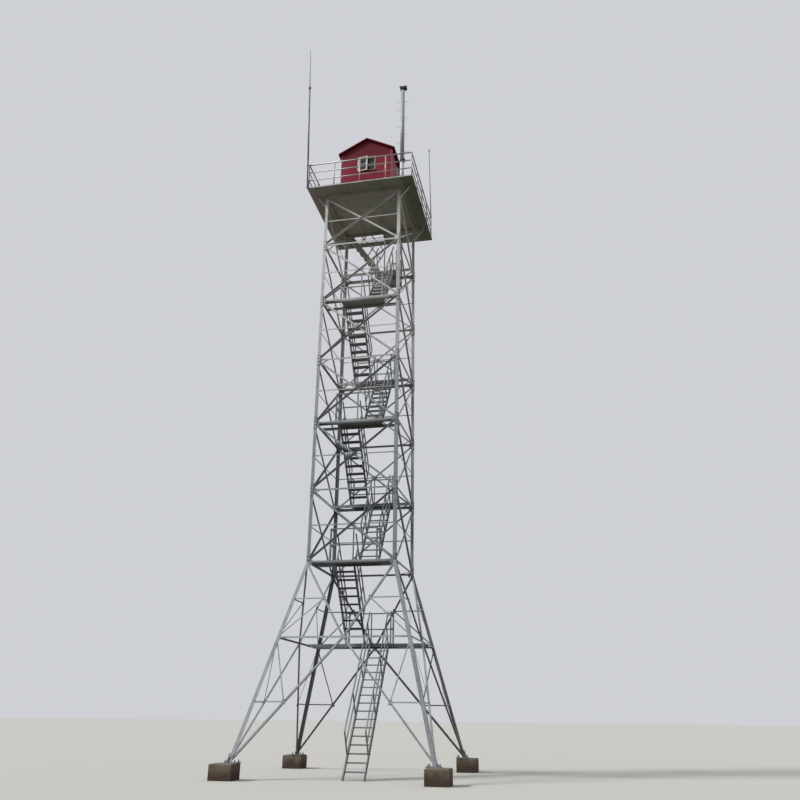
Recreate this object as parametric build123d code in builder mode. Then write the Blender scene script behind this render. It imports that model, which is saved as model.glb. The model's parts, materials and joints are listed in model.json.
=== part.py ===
from build123d import *
from math import atan2, cos, hypot, radians, sin, tan
import os

os.makedirs("parts", exist_ok=True)

# Steel lattice watch tower in millimetres. The origin is on the ground at the centre of the four
# footings, +Z is up, and the front of the tower faces -Y.

# Heights
pier_height = 450
first_level = 4100
bay_height = 2500
plain_bays = 5
top_bay_height = 2250

# Plan of the legs, measured at the outer heel of each angle
foot_half = 3130
body_half = 1545

# Angle sections of the frame
leg_width = 118
leg_thick = 12
brace_width = 63
brace_thick = 7
light_width = 40
corner_strut_width = 50
corner_strut_thick = 6
corner_strut_reach = 450
gusset_width = 110
gusset_height = 160
base_clip = 70
base_knee_share = 0.47
seat = 0.3

# Footings
pier_width = 700
pier_offset = 50
pier_chamfer = 25
base_plate = 420
base_plate_thick = 25
stiffener_height = 260
stiffener_reach = 65
stiffener_thick = 12

# Stairs
stair_width = 700
left_stair_x = -400
right_stair_x = 470
going = 180
rise_target = 245
outer_rise_target = 265
foot_reach = 160
stringer_depth = 140
stringer_above = 30
stringer_width = 40
stringer_web = 6
tread_depth = 210
tread_thick = 6
tread_lip = 40
handrail_offset = 700
handrail_size = 38
handrail_posts = 4
handrail_start = 850
handrail_over = 500
handrail_lean = 25

# Landings
landing_inner = 820
landing_outer = 1430
landing_left = -800
landing_right = 870
landing_plate_thick = 8
landing_beam_depth = 100
landing_beam_width = 45
landing_beam_web = 6
rail_height = 1100
rail_post = 38
rail_levels = (0.5, 1.0)
rail_gap = 20
rail_inset = 25
side_rail_start = 120
top_rail_start = 250
top_rail_left = 350
top_landing_left = 60
top_landing_back = 2110
hanger_width = 50
hanger_thick = 6

# Outer stair at the back, from the top landing up to the hatch
outer_stair_inner = 1470
outer_stair_outer = 2100
hatch_left = -1300
hatch_right = 100
hatch_front = 1430
hatch_back = 2135

# Platform; its back edge reaches further out than the other three
platform_half = 2165
platform_back = 2450
main_beam_depth = 126
main_beam_width = 60
soffit_thick = 4
joist_depth = 40
joist_width = 50
joist_web = 6
joist_spacing = 550
deck_thick = 8
deck_joint = 2
guard_inset = 45
guard_height = 1130
guard_pipe = 45
guard_rail_width = 40
guard_bays = 4
guard_rails = (0.34, 0.67, 1.0)
knee_drop = 550
knee_overhang = 405
knee_size = 50

# Hut
hut_half = 1100
wall_thick = 75
floor_thick = 28
eave_height = 2265
roof_slope = 28.4
roof_thick = 45
eave_overhang = 85
gable_overhang = 100
fascia_depth = 80
fascia_thick = 20
ridge_cap_reach = 130
ridge_cap_thick = 4
window_width = 745
window_height = 695
window_sill = 1293
frame_bar = 40
cross_bar = 25
frame_depth = 60
glass_thick = 8
door_width = 800
door_height = 1980
door_centre = 250
door_thick = 45
door_frame_bar = 45
handle_edge = 60
handle_plate_width = 30
handle_plate_height = 160
handle_plate_thick = 12
lever_length = 120
lever_thick = 20
lever_reach = 25
lever_lift = 20

# Mast and aerials
mast_radius = 85
mast_shift = 60
mast_height = 4840
mast_flange = 300
mast_flange_thick = 16
peg_spacing = 430
peg_count = 7
peg_length = 175
peg_radius = 8
first_peg = 1670
cap_radius = 96
camera_foot = 125
camera_foot_height = 60
camera_length = 300
camera_width = 190
camera_height = 170
camera_shift = 25
camera_shoulder = 55
lamp_lift = 1180
lamp_turn = -40
lamp_radius = 55
lamp_arm = 24
band_thick = 8
band_height = 60
aerial_pole_radius = 30
aerial_pole_height = 5130
aerial_drop = 74
aerial_left = 2135
aerial_whip_height = 2150
aerial_whip_radius = 13
aerial_knob_radius = 50
aerial_clamp_width = 80
aerial_clamp_height = 45
aerial_lean = 2
rear_whip_height = 3780
rear_whip_radius = 18
rear_knob_radius = 34
rear_knob_height = 130
whip_socket_radius = 32
whip_socket_height = 80
rear_whip_lean = 1.1

# Levels worked out from the heights above
levels = [first_level + bay_height * i for i in range(plain_bays + 2)]
waist = levels[1]
leg_top = levels[-1] + top_bay_height
soffit_base = leg_top + main_beam_depth
joist_base = soffit_base + soffit_thick + seat
deck_base = joist_base + joist_depth
deck_top = deck_base + deck_thick
flare = (foot_half - body_half) / (waist - pier_height)
flare_angle = atan2(flare, 1)
web_reach = brace_width - brace_thick
flat_clear = leg_thick + brace_thick + 2 * seat
web_clear = leg_thick + brace_width + 2 * seat
landing_surface = brace_width / 2 + seat + landing_plate_thick
guard_half = platform_half - guard_inset
guard_back = platform_back - guard_inset

SIDES = {"front": -90, "right": 0, "back": 90, "left": 180}
CORNERS = [(-1, -1), (1, -1), (1, 1), (-1, 1)]


def leg_half(height):
    """Half the distance between the heels of the legs at one height."""
    return body_half + max(0, waist - height) * flare


def save(block, name):
    """Label one finished sub-part and write it as its own file."""
    block.part.label = name
    export_step(block.part, "parts/" + name + ".step")


def side_plane(angle, height, half, lean):
    """Plane in one side of the tower, x level, y up the side and z outwards."""
    outward = Vector(cos(radians(angle)), sin(radians(angle)), 0)
    level = Vector(-sin(radians(angle)), cos(radians(angle)), 0)
    normal = outward * cos(lean) + Vector(0, 0, 1) * sin(lean)
    return Plane(origin=outward * half + Vector(0, 0, height), x_dir=level, z_dir=normal)


def shifted(bar, distance):
    """The line of a bar moved sideways in its own plane."""
    (x0, y0), (x1, y1) = bar
    length = hypot(x1 - x0, y1 - y0)
    dx = -(y1 - y0) / length * distance
    dy = (x1 - x0) / length * distance
    return (x0 + dx, y0 + dy), (x1 + dx, y1 + dy)


def lattice(plane, bars, light_bars, plates, outline, turned_bars=()):
    """Fused braces of one side: angles with their webs inwards, flat light bars, plates at the crossings.

    outline gives the corners of the clear field at a distance from the heels of the legs. The webs of
    the turned bars point outwards and stop at the edges of the legs.
    """
    with BuildPart() as side:
        with BuildSketch(plane.offset(-brace_thick)):
            for start, end in [*bars, *turned_bars]:
                trace(Edge.make_line(start, end), line_width=brace_width)
            for start, end in light_bars:
                trace(Edge.make_line(start, end), line_width=light_width)
            with Locations(*plates):
                Rectangle(gusset_width, gusset_height)
            Polygon(*outline(flat_clear), align=None, mode=Mode.INTERSECT)
        extrude(amount=brace_thick)
        with BuildSketch(plane.offset(-brace_width)):
            for bar in bars:
                trace(Edge.make_line(*shifted(bar, web_reach / 2)), line_width=brace_thick)
            Polygon(*outline(web_clear), align=None, mode=Mode.INTERSECT)
        extrude(amount=brace_width)
        if turned_bars:
            with BuildSketch(plane):
                for bar in turned_bars:
                    trace(Edge.make_line(*shifted(bar, web_reach / 2)), line_width=brace_thick)
                Polygon(*outline(leg_width + seat), align=None, mode=Mode.INTERSECT)
            extrude(amount=web_reach)
    return side.part


def channel(start, end, depth, width, web, opening):
    """Level channel between two points of its top outer edge; opening is the way its flanges point."""
    start = Vector(*start)
    end = Vector(*end)
    axis = (end - start).normalized()
    with BuildPart() as beam:
        with BuildSketch(Plane(origin=start, x_dir=Vector(*opening), z_dir=axis)) as section:
            up = 1 if section.workplanes[0].y_dir.Z > 0 else -1
            low = -up * depth
            with BuildLine():
                Polyline(
                    (0, 0), (width, 0), (width, -up * web), (web, -up * web),
                    (web, low + up * web), (width, low + up * web), (width, low), (0, low),
                    close=True,
                )
            make_face()
        extrude(amount=(end - start).length)
    return beam.part


def pipe(start, end, radius, sides=6):
    """Straight pipe or rod drawn with a few flat sides."""
    start = Vector(*start)
    end = Vector(*end)
    with BuildPart() as rod:
        with BuildSketch(Plane(origin=start, z_dir=(end - start).normalized())):
            RegularPolygon(radius, sides)
        extrude(amount=(end - start).length)
    return rod.part


# Concrete footings, one block under each leg
with BuildPart() as concrete_piers:
    pier_at = foot_half + pier_offset
    with Locations(*[(sx * pier_at, sy * pier_at) for sx, sy in CORNERS]):
        Box(pier_width, pier_width, pier_height, align=(Align.CENTER, Align.CENTER, Align.MIN))
    chamfer(concrete_piers.faces().group_by(Axis.Z)[-1].edges(), length=pier_chamfer)
save(concrete_piers, "concrete_piers")


def leg_section(sx, sy):
    """Closed outline of a leg, the heel at the outer corner."""
    return [
        (0, 0), (-sx * leg_width, 0), (-sx * leg_width, -sy * leg_thick),
        (-sx * leg_thick, -sy * leg_thick), (-sx * leg_thick, -sy * leg_width), (0, -sy * leg_width),
    ]


def lower_leg(sx, sy):
    """Flared leg angle with its base plate and two upright stiffeners."""
    foot = pier_height + base_plate_thick
    heel = leg_half(foot)
    height = waist - foot
    run = height * flare
    plate_at = foot_half - base_plate / 4
    with BuildPart() as leg:
        with BuildSketch(Plane.XY.offset(pier_height)):
            with Locations((sx * plate_at, sy * plate_at)):
                Rectangle(base_plate, base_plate)
        extrude(amount=base_plate_thick)
        with BuildSketch(Plane(origin=(sx * heel, sy * heel, foot))):
            with BuildLine():
                Polyline(*leg_section(sx, sy), close=True)
            make_face()
        extrude(amount=hypot(run, run, height), dir=(-sx * run, -sy * run, height))
        top = stiffener_height
        fin = [(-leg_thick, 0), (stiffener_reach, 0), (-top * flare, top), (-top * flare - leg_thick, top)]
        for along, facing, turn in (((sx, 0, 0), (0, -sx, 0), 1), ((0, sy, 0), (sy, 0, 0), -1)):
            with BuildSketch(Plane(origin=(sx * heel, sy * heel, foot), x_dir=along, z_dir=facing)):
                with BuildLine():
                    Polyline(*fin, close=True)
                make_face()
            extrude(amount=turn * stiffener_thick * sx * sy)
    return leg.part


with BuildPart() as lower_legs:
    add([lower_leg(sx, sy) for sx, sy in CORNERS])
save(lower_legs, "lower_legs")

with BuildPart() as upper_legs:
    for sx, sy in CORNERS:
        with BuildSketch(Plane(origin=(sx * body_half, sy * body_half, waist + seat))):
            with BuildLine():
                Polyline(*leg_section(sx, sy), close=True)
            make_face()
        extrude(amount=leg_top - waist - 2 * seat)
save(upper_legs, "upper_legs")

# Base bay: an inverted V on each side, down to the feet, with a short horizontal and a strut
slope_scale = 1 / cos(flare_angle)
base_inset = leg_thick * cos(flare_angle) + seat
base_top = (first_level - pier_height) * slope_scale
base_mid = base_top * base_knee_share
base_limit = base_top - brace_width / 2 - seat
waist_top = (waist - pier_height) * slope_scale
waist_mid = (base_top + waist_top) / 2
waist_limit = waist_top - brace_width / 2 - seat


def sloped_half(along, clear=0):
    """Half width of the sloping side at a distance up from the feet, less the clearance."""
    return leg_half(pier_height + along / slope_scale) - clear * slope_scale


for side, angle in SIDES.items():
    plane = side_plane(angle, pier_height, foot_half, flare_angle).offset(-base_inset)
    halves = []
    for hand in (-1, 1):
        knee = (hand * foot_half * (1 - base_knee_share), base_mid)
        bars = [((0, base_top), (hand * foot_half, 0))]
        light_bars = [
            ((hand * sloped_half(base_mid), base_mid), knee),
            ((hand * sloped_half(base_top), base_top), knee),
        ]
        halves.append(lattice(plane, bars, light_bars, [knee], lambda clear: [
            (hand * seat, base_limit), (hand * sloped_half(base_limit, clear), base_limit),
            (hand * sloped_half(base_clip, clear), base_clip), (hand * seat, base_clip),
        ]))
    with BuildPart() as base_brace:
        add(halves)
    save(base_brace, side + "_base_brace")

# Waist bay: a level angle at the first landing and a V up to the corners of the body
waist_low = base_top - brace_width / 2
for side, angle in SIDES.items():
    plane = side_plane(angle, pier_height, foot_half, flare_angle).offset(-base_inset)
    lower = sloped_half(base_top)
    bars = [((-lower, base_top), (lower, base_top))]
    light_bars = []
    plates = [(0, base_top)]
    for hand in (-1, 1):
        knee = (hand * body_half / 2, waist_mid)
        bars.append(((hand * body_half, waist_top), (0, base_top)))
        light_bars.append(((hand * sloped_half(waist_mid), waist_mid), knee))
        light_bars.append(((hand * lower, base_top), knee))
        plates.append(knee)
    with BuildPart() as waist_frame:
        add(lattice(plane, bars, light_bars, plates, lambda clear: [
            (-sloped_half(waist_low, clear), waist_low), (sloped_half(waist_low, clear), waist_low),
            (sloped_half(waist_limit, clear), waist_limit), (-sloped_half(waist_limit, clear), waist_limit),
        ]))
    save(waist_frame, side + "_waist_frame")

# Upright body: a cross and a light mid rail in every bay, a level angle at every landing
for side, angle in SIDES.items():
    plane = side_plane(angle, waist, body_half, 0).offset(-leg_thick - seat)
    count = plain_bays if side == "back" else plain_bays + 1
    bars = []
    turned_bars = []
    light_bars = []
    plates = []
    for i in range(count):
        low = i * bay_height
        high = low + (bay_height if i < plain_bays else top_bay_height)
        middle = (low + high) / 2
        bars.append(((-body_half, low), (body_half, low)))
        turned_bars.append(((-body_half, low), (body_half, high)))
        bars.append(((body_half, low), (-body_half, high)))
        light_bars.append(((-body_half, middle), (body_half, middle)))
        plates.append((0, middle))
    top = leg_top - waist
    if side == "back":
        bars.append(((-body_half, count * bay_height), (body_half, count * bay_height)))
        top = count * bay_height + brace_width / 2
    low = -brace_width / 2
    with BuildPart() as body_lattice:
        add(lattice(plane, bars, light_bars, plates, lambda clear: [
            (clear - body_half, low), (body_half - clear, low),
            (body_half - clear, top), (clear - body_half, top),
        ], turned_bars))
    save(body_lattice, side + "_lattice")

# Short flat struts across the corners, lying on the level angles
with BuildPart() as corner_struts:
    for level in levels[1:]:
        inner = body_half - leg_thick - seat - brace_width / 2
        near = body_half - corner_strut_reach
        with BuildSketch(Plane.XY.offset(level + brace_width / 2 + seat)):
            for sx, sy in CORNERS:
                strut = Edge.make_line((sx * near, sy * inner), (sx * inner, sy * near))
                trace(strut, line_width=corner_strut_width)
        extrude(amount=corner_strut_thick)
save(corner_struts, "corner_struts")


def flight(plane, rise, tread_run, steps, width, rail_over, rails):
    """One flight in its own plane: x is the way up, y is up, z is across; the top nosing is at the origin."""
    angle = atan2(rise, tread_run)
    run = steps * tread_run
    height = steps * rise
    nose_above = stringer_above / sin(angle)
    nose_below = (stringer_depth - stringer_above) / sin(angle)
    up_above = stringer_above / cos(angle)
    up_below = (stringer_depth - stringer_above) / cos(angle)
    profile = [
        (-run - nose_above, -height), (-run + nose_below, -height), (-seat, -up_below), (-seat, up_above),
    ]
    solids = []
    for hand in (-1, 1):
        outer = hand * width / 2
        with BuildPart() as stringer:
            with BuildSketch(plane.offset(outer)):
                with BuildLine():
                    Polyline(*profile, close=True)
                make_face()
            extrude(amount=-hand * stringer_width)
            with BuildSketch(plane.offset(outer)):
                with BuildLine():
                    Polyline(*profile, close=True)
                make_face()
                offset(amount=-stringer_web, kind=Kind.INTERSECTION, mode=Mode.REPLACE)
            extrude(amount=-hand * (stringer_width - stringer_web), mode=Mode.SUBTRACT)
        solids.append(stringer.part)
    for i in range(1, steps):
        nose = (-(steps - i) * tread_run, -(steps - i) * rise)
        with BuildPart() as tread:
            with BuildSketch(plane.offset(-width / 2 + stringer_width + seat)):
                with BuildLine():
                    Polyline(
                        nose, (nose[0] + tread_depth, nose[1]), (nose[0] + tread_depth, nose[1] - tread_thick),
                        (nose[0] + tread_thick, nose[1] - tread_thick),
                        (nose[0] + tread_thick, nose[1] - tread_lip), (nose[0], nose[1] - tread_lip),
                        close=True,
                    )
                make_face()
            extrude(amount=width - 2 * stringer_width - 2 * seat)
        solids.append(tread.part)
    length = hypot(run, height)
    foot = stringer_above + seat
    lean = tan(radians(handrail_lean))

    def on_slope(distance, reach):
        """Point at a distance up the line of the nosings and a reach square to it."""
        return (
            cos(angle) * distance - sin(angle) * reach - run,
            sin(angle) * distance + cos(angle) * reach - height,
        )

    for hand in rails:
        spacing = (length - handrail_start - handrail_size) / (handrail_posts - 1)
        posts = [handrail_start + spacing * i for i in range(handrail_posts)]
        half = handrail_size / 2
        top = handrail_offset + half
        slide = (top - foot) * lean
        with BuildPart() as handrail:
            with BuildSketch(plane.offset(hand * (width / 2 - stringer_width / 2) - half)):
                for post in posts:
                    Polygon(
                        on_slope(post - half, foot), on_slope(post + half, foot),
                        on_slope(post + slide + half, top), on_slope(post + slide - half, top), align=None,
                    )
                for reach in (handrail_offset / 2, handrail_offset):
                    slide = (reach - foot) * lean
                    extra = rail_over if reach == handrail_offset else 0
                    start = on_slope(posts[0] + slide - half, reach)
                    end = on_slope(posts[-1] + slide + half + extra, reach)
                    trace(Edge.make_line(start, end), line_width=handrail_size)
            extrude(amount=handrail_size)
        solids.append(handrail.part)
    return solids


# Inner flights, front to back and back to front by turns; each upper one stands on the landing below it
surfaces = [0] + [level + landing_surface for level in levels]
for i in range(plain_bays + 2):
    total = surfaces[i + 1] - surfaces[i]
    steps = round(total / rise_target)
    away = 1 if i % 2 == 0 else -1
    centre = right_stair_x if away == 1 else left_stair_x
    top = (centre, away * (landing_inner - seat), surfaces[i + 1])
    tread_run = going if i == 0 else (2 * landing_inner + foot_reach) / steps
    with BuildPart() as flight_part:
        plane = Plane(origin=top, x_dir=(0, away, 0), z_dir=(away, 0, 0))
        add(flight(plane, total / steps, tread_run, steps, stair_width, handrail_over, (-1, 1)))
    save(flight_part, "flight_" + str(i + 1))

# Outer flight, sideways along the back of the top bay up to the hatch
total = deck_top - surfaces[-1]
steps = round(total / outer_rise_target)
middle = (outer_stair_inner + outer_stair_outer) / 2
with BuildPart() as flight_8:
    plane = Plane(origin=(hatch_left + seat, middle, deck_top), x_dir=(-1, 0, 0), z_dir=(0, 1, 0))
    add(flight(plane, total / steps, going, steps, outer_stair_outer - outer_stair_inner, 0, (-1,)))
save(flight_8, "flight_8")


def landing_plate(left, right, near, far, base):
    """Chequer plate of a landing."""
    with BuildPart() as plate:
        with BuildSketch(Plane.XY.offset(base)):
            with Locations(((left + right) / 2, (near + far) / 2)):
                Rectangle(right - left, far - near)
        extrude(amount=landing_plate_thick)
    return plate.part


def rail_panel(plane, posts):
    """Fused landing rail: x along the rail, y up from the landing, z through its thickness."""
    first = posts[0]
    last = posts[-1]
    with BuildPart() as panel:
        with BuildSketch(plane.offset(-rail_post / 2)):
            for x in posts:
                trace(Edge.make_line((x, seat), (x, rail_height - rail_post / 2)), line_width=rail_post)
            for share in rail_levels:
                height = rail_height * share - rail_post / 2
                ends = (first - rail_post / 2, height), (last + rail_post / 2, height)
                trace(Edge.make_line(*ends), line_width=rail_post)
        extrude(amount=rail_post)
    return panel.part


def hangers():
    """Two angles that carry the outer edge of the top landing from the platform."""
    base = levels[-1] + brace_width / 2 - landing_beam_depth
    y = top_landing_back + seat
    with BuildPart() as pair:
        with BuildSketch(Plane.XY.offset(base)):
            for x, hand in ((top_landing_left, 1), (landing_right, -1)):
                Polygon(
                    (x, y), (x + hand * hanger_width, y), (x + hand * hanger_width, y + hanger_thick),
                    (x + hand * hanger_thick, y + hanger_thick), (x + hand * hanger_thick, y + hanger_width),
                    (x, y + hanger_width), align=None,
                )
        extrude(amount=soffit_base - seat - base)
    return pair.part.solids()


# Landings at the end of each inner flight; the lowest beams run out to the sloping sides
first_beam_reach = foot_half - (base_top + brace_width / 2) * sin(flare_angle)
first_beam_reach = first_beam_reach - (base_inset + brace_width) * cos(flare_angle) - seat
for i, level in enumerate(levels):
    away = 1 if i % 2 == 0 else -1
    last = i == len(levels) - 1
    surface = level + landing_surface
    reach = first_beam_reach if i == 0 else body_half - web_clear
    left = top_landing_left if last else landing_left
    outer = top_landing_back if last else landing_outer
    near, far = sorted((away * landing_inner, away * outer))
    solids = [landing_plate(left, landing_right, near, far, surface - landing_plate_thick)]
    beam_top = level + brace_width / 2
    for y, opening in ((landing_inner, 1), (landing_outer, -1)):
        solids.append(channel(
            (-reach, away * y, beam_top), (reach, away * y, beam_top),
            landing_beam_depth, landing_beam_width, landing_beam_web, (0, away * opening, 0),
        ))
    if last:
        solids.append(channel(
            (left, outer, beam_top), (landing_right, outer, beam_top),
            landing_beam_depth, landing_beam_width, landing_beam_web, (0, -1, 0),
        ))
        y_line = outer - rail_inset
        first_post = landing_inner + top_rail_start
        side_posts = [first_post, (first_post + y_line) / 2, y_line]
        plane = Plane(origin=(landing_right - rail_inset, 0, surface), x_dir=(0, 1, 0), z_dir=(1, 0, 0))
        solids.append(rail_panel(plane, side_posts))
        plane = Plane(origin=(0, y_line, surface), x_dir=(1, 0, 0), z_dir=(0, -1, 0))
        ends = [left + top_rail_left, landing_right - rail_inset - rail_post - rail_gap]
        solids.append(rail_panel(plane, ends))
        solids.extend(hangers())
    else:
        y_line = away * (outer - rail_inset)
        plane = Plane(origin=(0, y_line, surface), x_dir=(1, 0, 0), z_dir=(0, -1, 0))
        ends = [left + rail_inset, (left + landing_right) / 2, landing_right - rail_inset]
        solids.append(rail_panel(plane, ends))
        for x in (left + rail_inset, landing_right - rail_inset):
            plane = Plane(origin=(x, 0, surface), x_dir=(0, away, 0), z_dir=(away, 0, 0))
            far = outer - rail_inset - rail_post - rail_gap
            solids.append(rail_panel(plane, [landing_inner + rail_inset + side_rail_start, far]))
    with BuildPart() as landing:
        add(solids)
    save(landing, "landing_" + str(i + 1))

# Platform: main beams on the leg tops, joists over them and an edge channel all round
beam_line = body_half - main_beam_width
with BuildPart() as main_beams:
    beam_top = soffit_base - seat
    for hand in (-1, 1):
        add(channel(
            (hand * body_half, -body_half, beam_top), (hand * body_half, body_half, beam_top),
            main_beam_depth - seat, main_beam_width, joist_web, (-hand, 0, 0),
        ))
    for y, opening in ((-body_half, 1), (hatch_front, -1)):
        add(channel(
            (-beam_line + seat, y, beam_top), (beam_line - seat, y, beam_top),
            main_beam_depth - seat, main_beam_width, joist_web, (0, opening, 0),
        ))
save(main_beams, "main_beams")

# Flat sheets that close the underside of the platform, with the hatch left open
inner_edge = platform_half - joist_width
inner_back = platform_back - joist_width
sheets = [
    (-platform_half, platform_half, -platform_half, hatch_front),
    (-platform_half, hatch_left, hatch_front, platform_back),
    (hatch_right, platform_half, hatch_front, platform_back),
    (hatch_left, hatch_right, hatch_back, platform_back),
]
with BuildPart() as platform_soffit:
    with BuildSketch(Plane.XY.offset(soffit_base)):
        for x0, x1, y0, y1 in sheets:
            with Locations(((x0 + x1) / 2, (y0 + y1) / 2)):
                Rectangle(x1 - x0 - deck_joint, y1 - y0 - deck_joint)
    extrude(amount=soffit_thick)
save(platform_soffit, "platform_soffit")

joist_rows = [joist_spacing * i for i in range(-3, 3)]
with BuildPart() as platform_joists:
    for y, opening in ((-platform_half, 1), (platform_back, -1)):
        add(channel(
            (-platform_half, y, deck_base), (platform_half, y, deck_base),
            joist_depth, joist_width, joist_web, (0, opening, 0),
        ))
    for hand in (-1, 1):
        add(channel(
            (hand * platform_half, -inner_edge + seat, deck_base),
            (hand * platform_half, inner_back - seat, deck_base),
            joist_depth, joist_width, joist_web, (-hand, 0, 0),
        ))
    for y in joist_rows + [hatch_front - joist_width, hatch_back]:
        add(channel(
            (-inner_edge + seat, y, deck_base), (inner_edge - seat, y, deck_base),
            joist_depth, joist_width - seat, joist_web, (0, 1, 0),
        ))
    for x, opening in ((hatch_left, -1), (hatch_right, 1)):
        add(channel(
            (x, hatch_front + seat, deck_base), (x, hatch_back - seat, deck_base),
            joist_depth, joist_width, joist_web, (opening, 0, 0),
        ))
save(platform_joists, "platform_joists")

# Chequer plates of the walkway, laid round the hut floor and the hatch
plates = [
    (-platform_half, platform_half, -platform_half, -hut_half),
    (-platform_half, -hut_half, -hut_half, hut_half),
    (hut_half, platform_half, -hut_half, hut_half),
    (-platform_half, hatch_left, hut_half, platform_back),
    (hatch_left, hatch_right, hut_half, hatch_front),
    (hatch_right, platform_half, hut_half, platform_back),
    (hatch_left, hatch_right, hatch_back, platform_back),
]
with BuildPart() as deck_plates:
    with BuildSketch(Plane.XY.offset(deck_base)):
        for x0, x1, y0, y1 in plates:
            with Locations(((x0 + x1) / 2, (y0 + y1) / 2)):
                Rectangle(x1 - x0 - deck_joint, y1 - y0 - deck_joint)
    extrude(amount=deck_thick)
save(deck_plates, "deck_plates")

# Struts from the legs sideways out to the edge of the platform
knee_from = body_half + seat
knee_reach = body_half + knee_overhang
knee_run = knee_reach - knee_from
knee_rise = knee_drop - seat
knee_cut = knee_run * knee_size / knee_rise
with BuildPart() as knee_braces:
    for sx, sy in CORNERS:
        knee_foot = (0, sy * body_half, soffit_base - knee_drop)
        with BuildSketch(Plane(origin=knee_foot, x_dir=(1, 0, 0), z_dir=(0, -1, 0))):
            Polygon(
                (sx * knee_from, 0), (sx * knee_reach, knee_rise), (sx * (knee_reach - knee_cut), knee_rise),
                (sx * knee_from, knee_size), align=None,
            )
        extrude(amount=sy * knee_size)
save(knee_braces, "knee_braces")

# Guard rail round the platform, four panels that share the corner posts of the front and the back
def guard_panel(start, end, has_corners):
    """Posts and three rails of one side, between two corners in plan."""
    foot = Vector(*start, deck_top + seat)
    level = (Vector(*end, deck_top + seat) - foot).normalized()
    length = (Vector(*end) - Vector(*start)).length
    plane = Plane(origin=foot, x_dir=level, z_dir=level.cross(Vector(0, 0, 1)))
    posts = [length * i / guard_bays for i in range(guard_bays + 1)]
    gap = 0
    if not has_corners:
        posts = posts[1:-1]
        gap = guard_pipe / 2 + seat
    with BuildPart() as panel:
        with BuildSketch(plane.offset(-guard_pipe / 2)):
            for x in posts:
                trace(Edge.make_line((x, 0), (x, guard_height)), line_width=guard_pipe)
            for share in guard_rails:
                height = guard_height * share - guard_rail_width / 2
                trace(Edge.make_line((gap, height), (length - gap, height)), line_width=guard_rail_width)
        extrude(amount=guard_pipe)
    return panel.part


guard_corners = [
    (-guard_half, -guard_half), (guard_half, -guard_half), (guard_half, guard_back), (-guard_half, guard_back),
]
with BuildPart() as guard_rail:
    for i in range(4):
        add(guard_panel(guard_corners[i], guard_corners[(i + 1) % 4], i % 2 == 0))
save(guard_rail, "guard_rail")

# Hut floor and walls
with BuildPart() as hut_floor:
    with BuildSketch(Plane.XY.offset(deck_base)):
        Rectangle(2 * hut_half - deck_joint, 2 * hut_half - deck_joint)
    extrude(amount=floor_thick)
save(hut_floor, "hut_floor")

floor_top = deck_base + floor_thick
ridge_height = eave_height + hut_half * tan(radians(roof_slope))


def gable_wall(y, opening):
    """End wall up to the ridge, with its window cut through; opening is its outward direction."""
    with BuildPart() as wall:
        with BuildSketch(Plane(origin=(0, y, floor_top), x_dir=(1, 0, 0), z_dir=(0, -1, 0))):
            with BuildLine():
                Polyline(
                    (-hut_half, 0), (hut_half, 0), (hut_half, eave_height), (0, ridge_height),
                    (-hut_half, eave_height), close=True,
                )
            make_face()
            with Locations((0, window_sill + window_height / 2)):
                Rectangle(window_width, window_height, mode=Mode.SUBTRACT)
        extrude(amount=opening * wall_thick)
    return wall


front_wall = gable_wall(-hut_half, -1)
save(front_wall, "hut_front_wall")
back_wall = gable_wall(hut_half, 1)
save(back_wall, "hut_back_wall")


def side_wall(hand, centre, sill, width, height):
    """Long wall between the gables with one opening; hand is -1 for the left wall."""
    x = hand * hut_half
    plane = Plane(origin=(x, 0, floor_top), x_dir=(0, 1, 0), z_dir=(1, 0, 0))
    top = eave_height
    with BuildPart() as wall:
        with BuildSketch(plane):
            Rectangle(2 * (hut_half - wall_thick - seat), top, align=(Align.CENTER, Align.MIN))
            with Locations((centre, sill + height / 2)):
                Rectangle(width, height, mode=Mode.SUBTRACT)
        extrude(amount=-hand * wall_thick)
    return wall


left_wall = side_wall(-1, 0, window_sill, window_width, window_height)
save(left_wall, "hut_left_wall")
right_wall = side_wall(1, door_centre, 0, door_width, door_height)
save(right_wall, "hut_right_wall")

# Roof: two sandwich slopes with a fascia along each eave and a ridge cap
roof_half = hut_half + eave_overhang
roof_rise = tan(radians(roof_slope))
roof_lift = seat / cos(radians(roof_slope))
roof_thick_up = roof_thick / cos(radians(roof_slope))
gable_edge = Plane(origin=(0, hut_half + gable_overhang, floor_top), x_dir=(1, 0, 0), z_dir=(0, -1, 0))
with BuildPart() as hut_roof:
    for hand in (-1, 1):
        ridge = ridge_height + roof_lift
        eave = ridge - roof_half * roof_rise
        with BuildSketch(gable_edge):
            with BuildLine():
                Polyline(
                    (hand * seat, ridge), (hand * roof_half, eave),
                    (hand * roof_half, eave + roof_thick_up - fascia_depth),
                    (hand * (roof_half + fascia_thick), eave + roof_thick_up - fascia_depth),
                    (hand * (roof_half + fascia_thick), eave + roof_thick_up),
                    (hand * roof_half, eave + roof_thick_up), (hand * seat, ridge + roof_thick_up),
                    close=True,
                )
            make_face()
        extrude(amount=2 * (hut_half + gable_overhang))
    top = ridge + roof_thick_up + seat
    drop = ridge_cap_reach * roof_rise
    with BuildSketch(gable_edge):
        Polygon(
            (0, top), (ridge_cap_reach, top - drop), (ridge_cap_reach, top - drop + ridge_cap_thick),
            (0, top + ridge_cap_thick), (-ridge_cap_reach, top - drop + ridge_cap_thick),
            (-ridge_cap_reach, top - drop), align=None,
        )
    extrude(amount=2 * (hut_half + gable_overhang))
save(hut_roof, "hut_roof")

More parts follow.
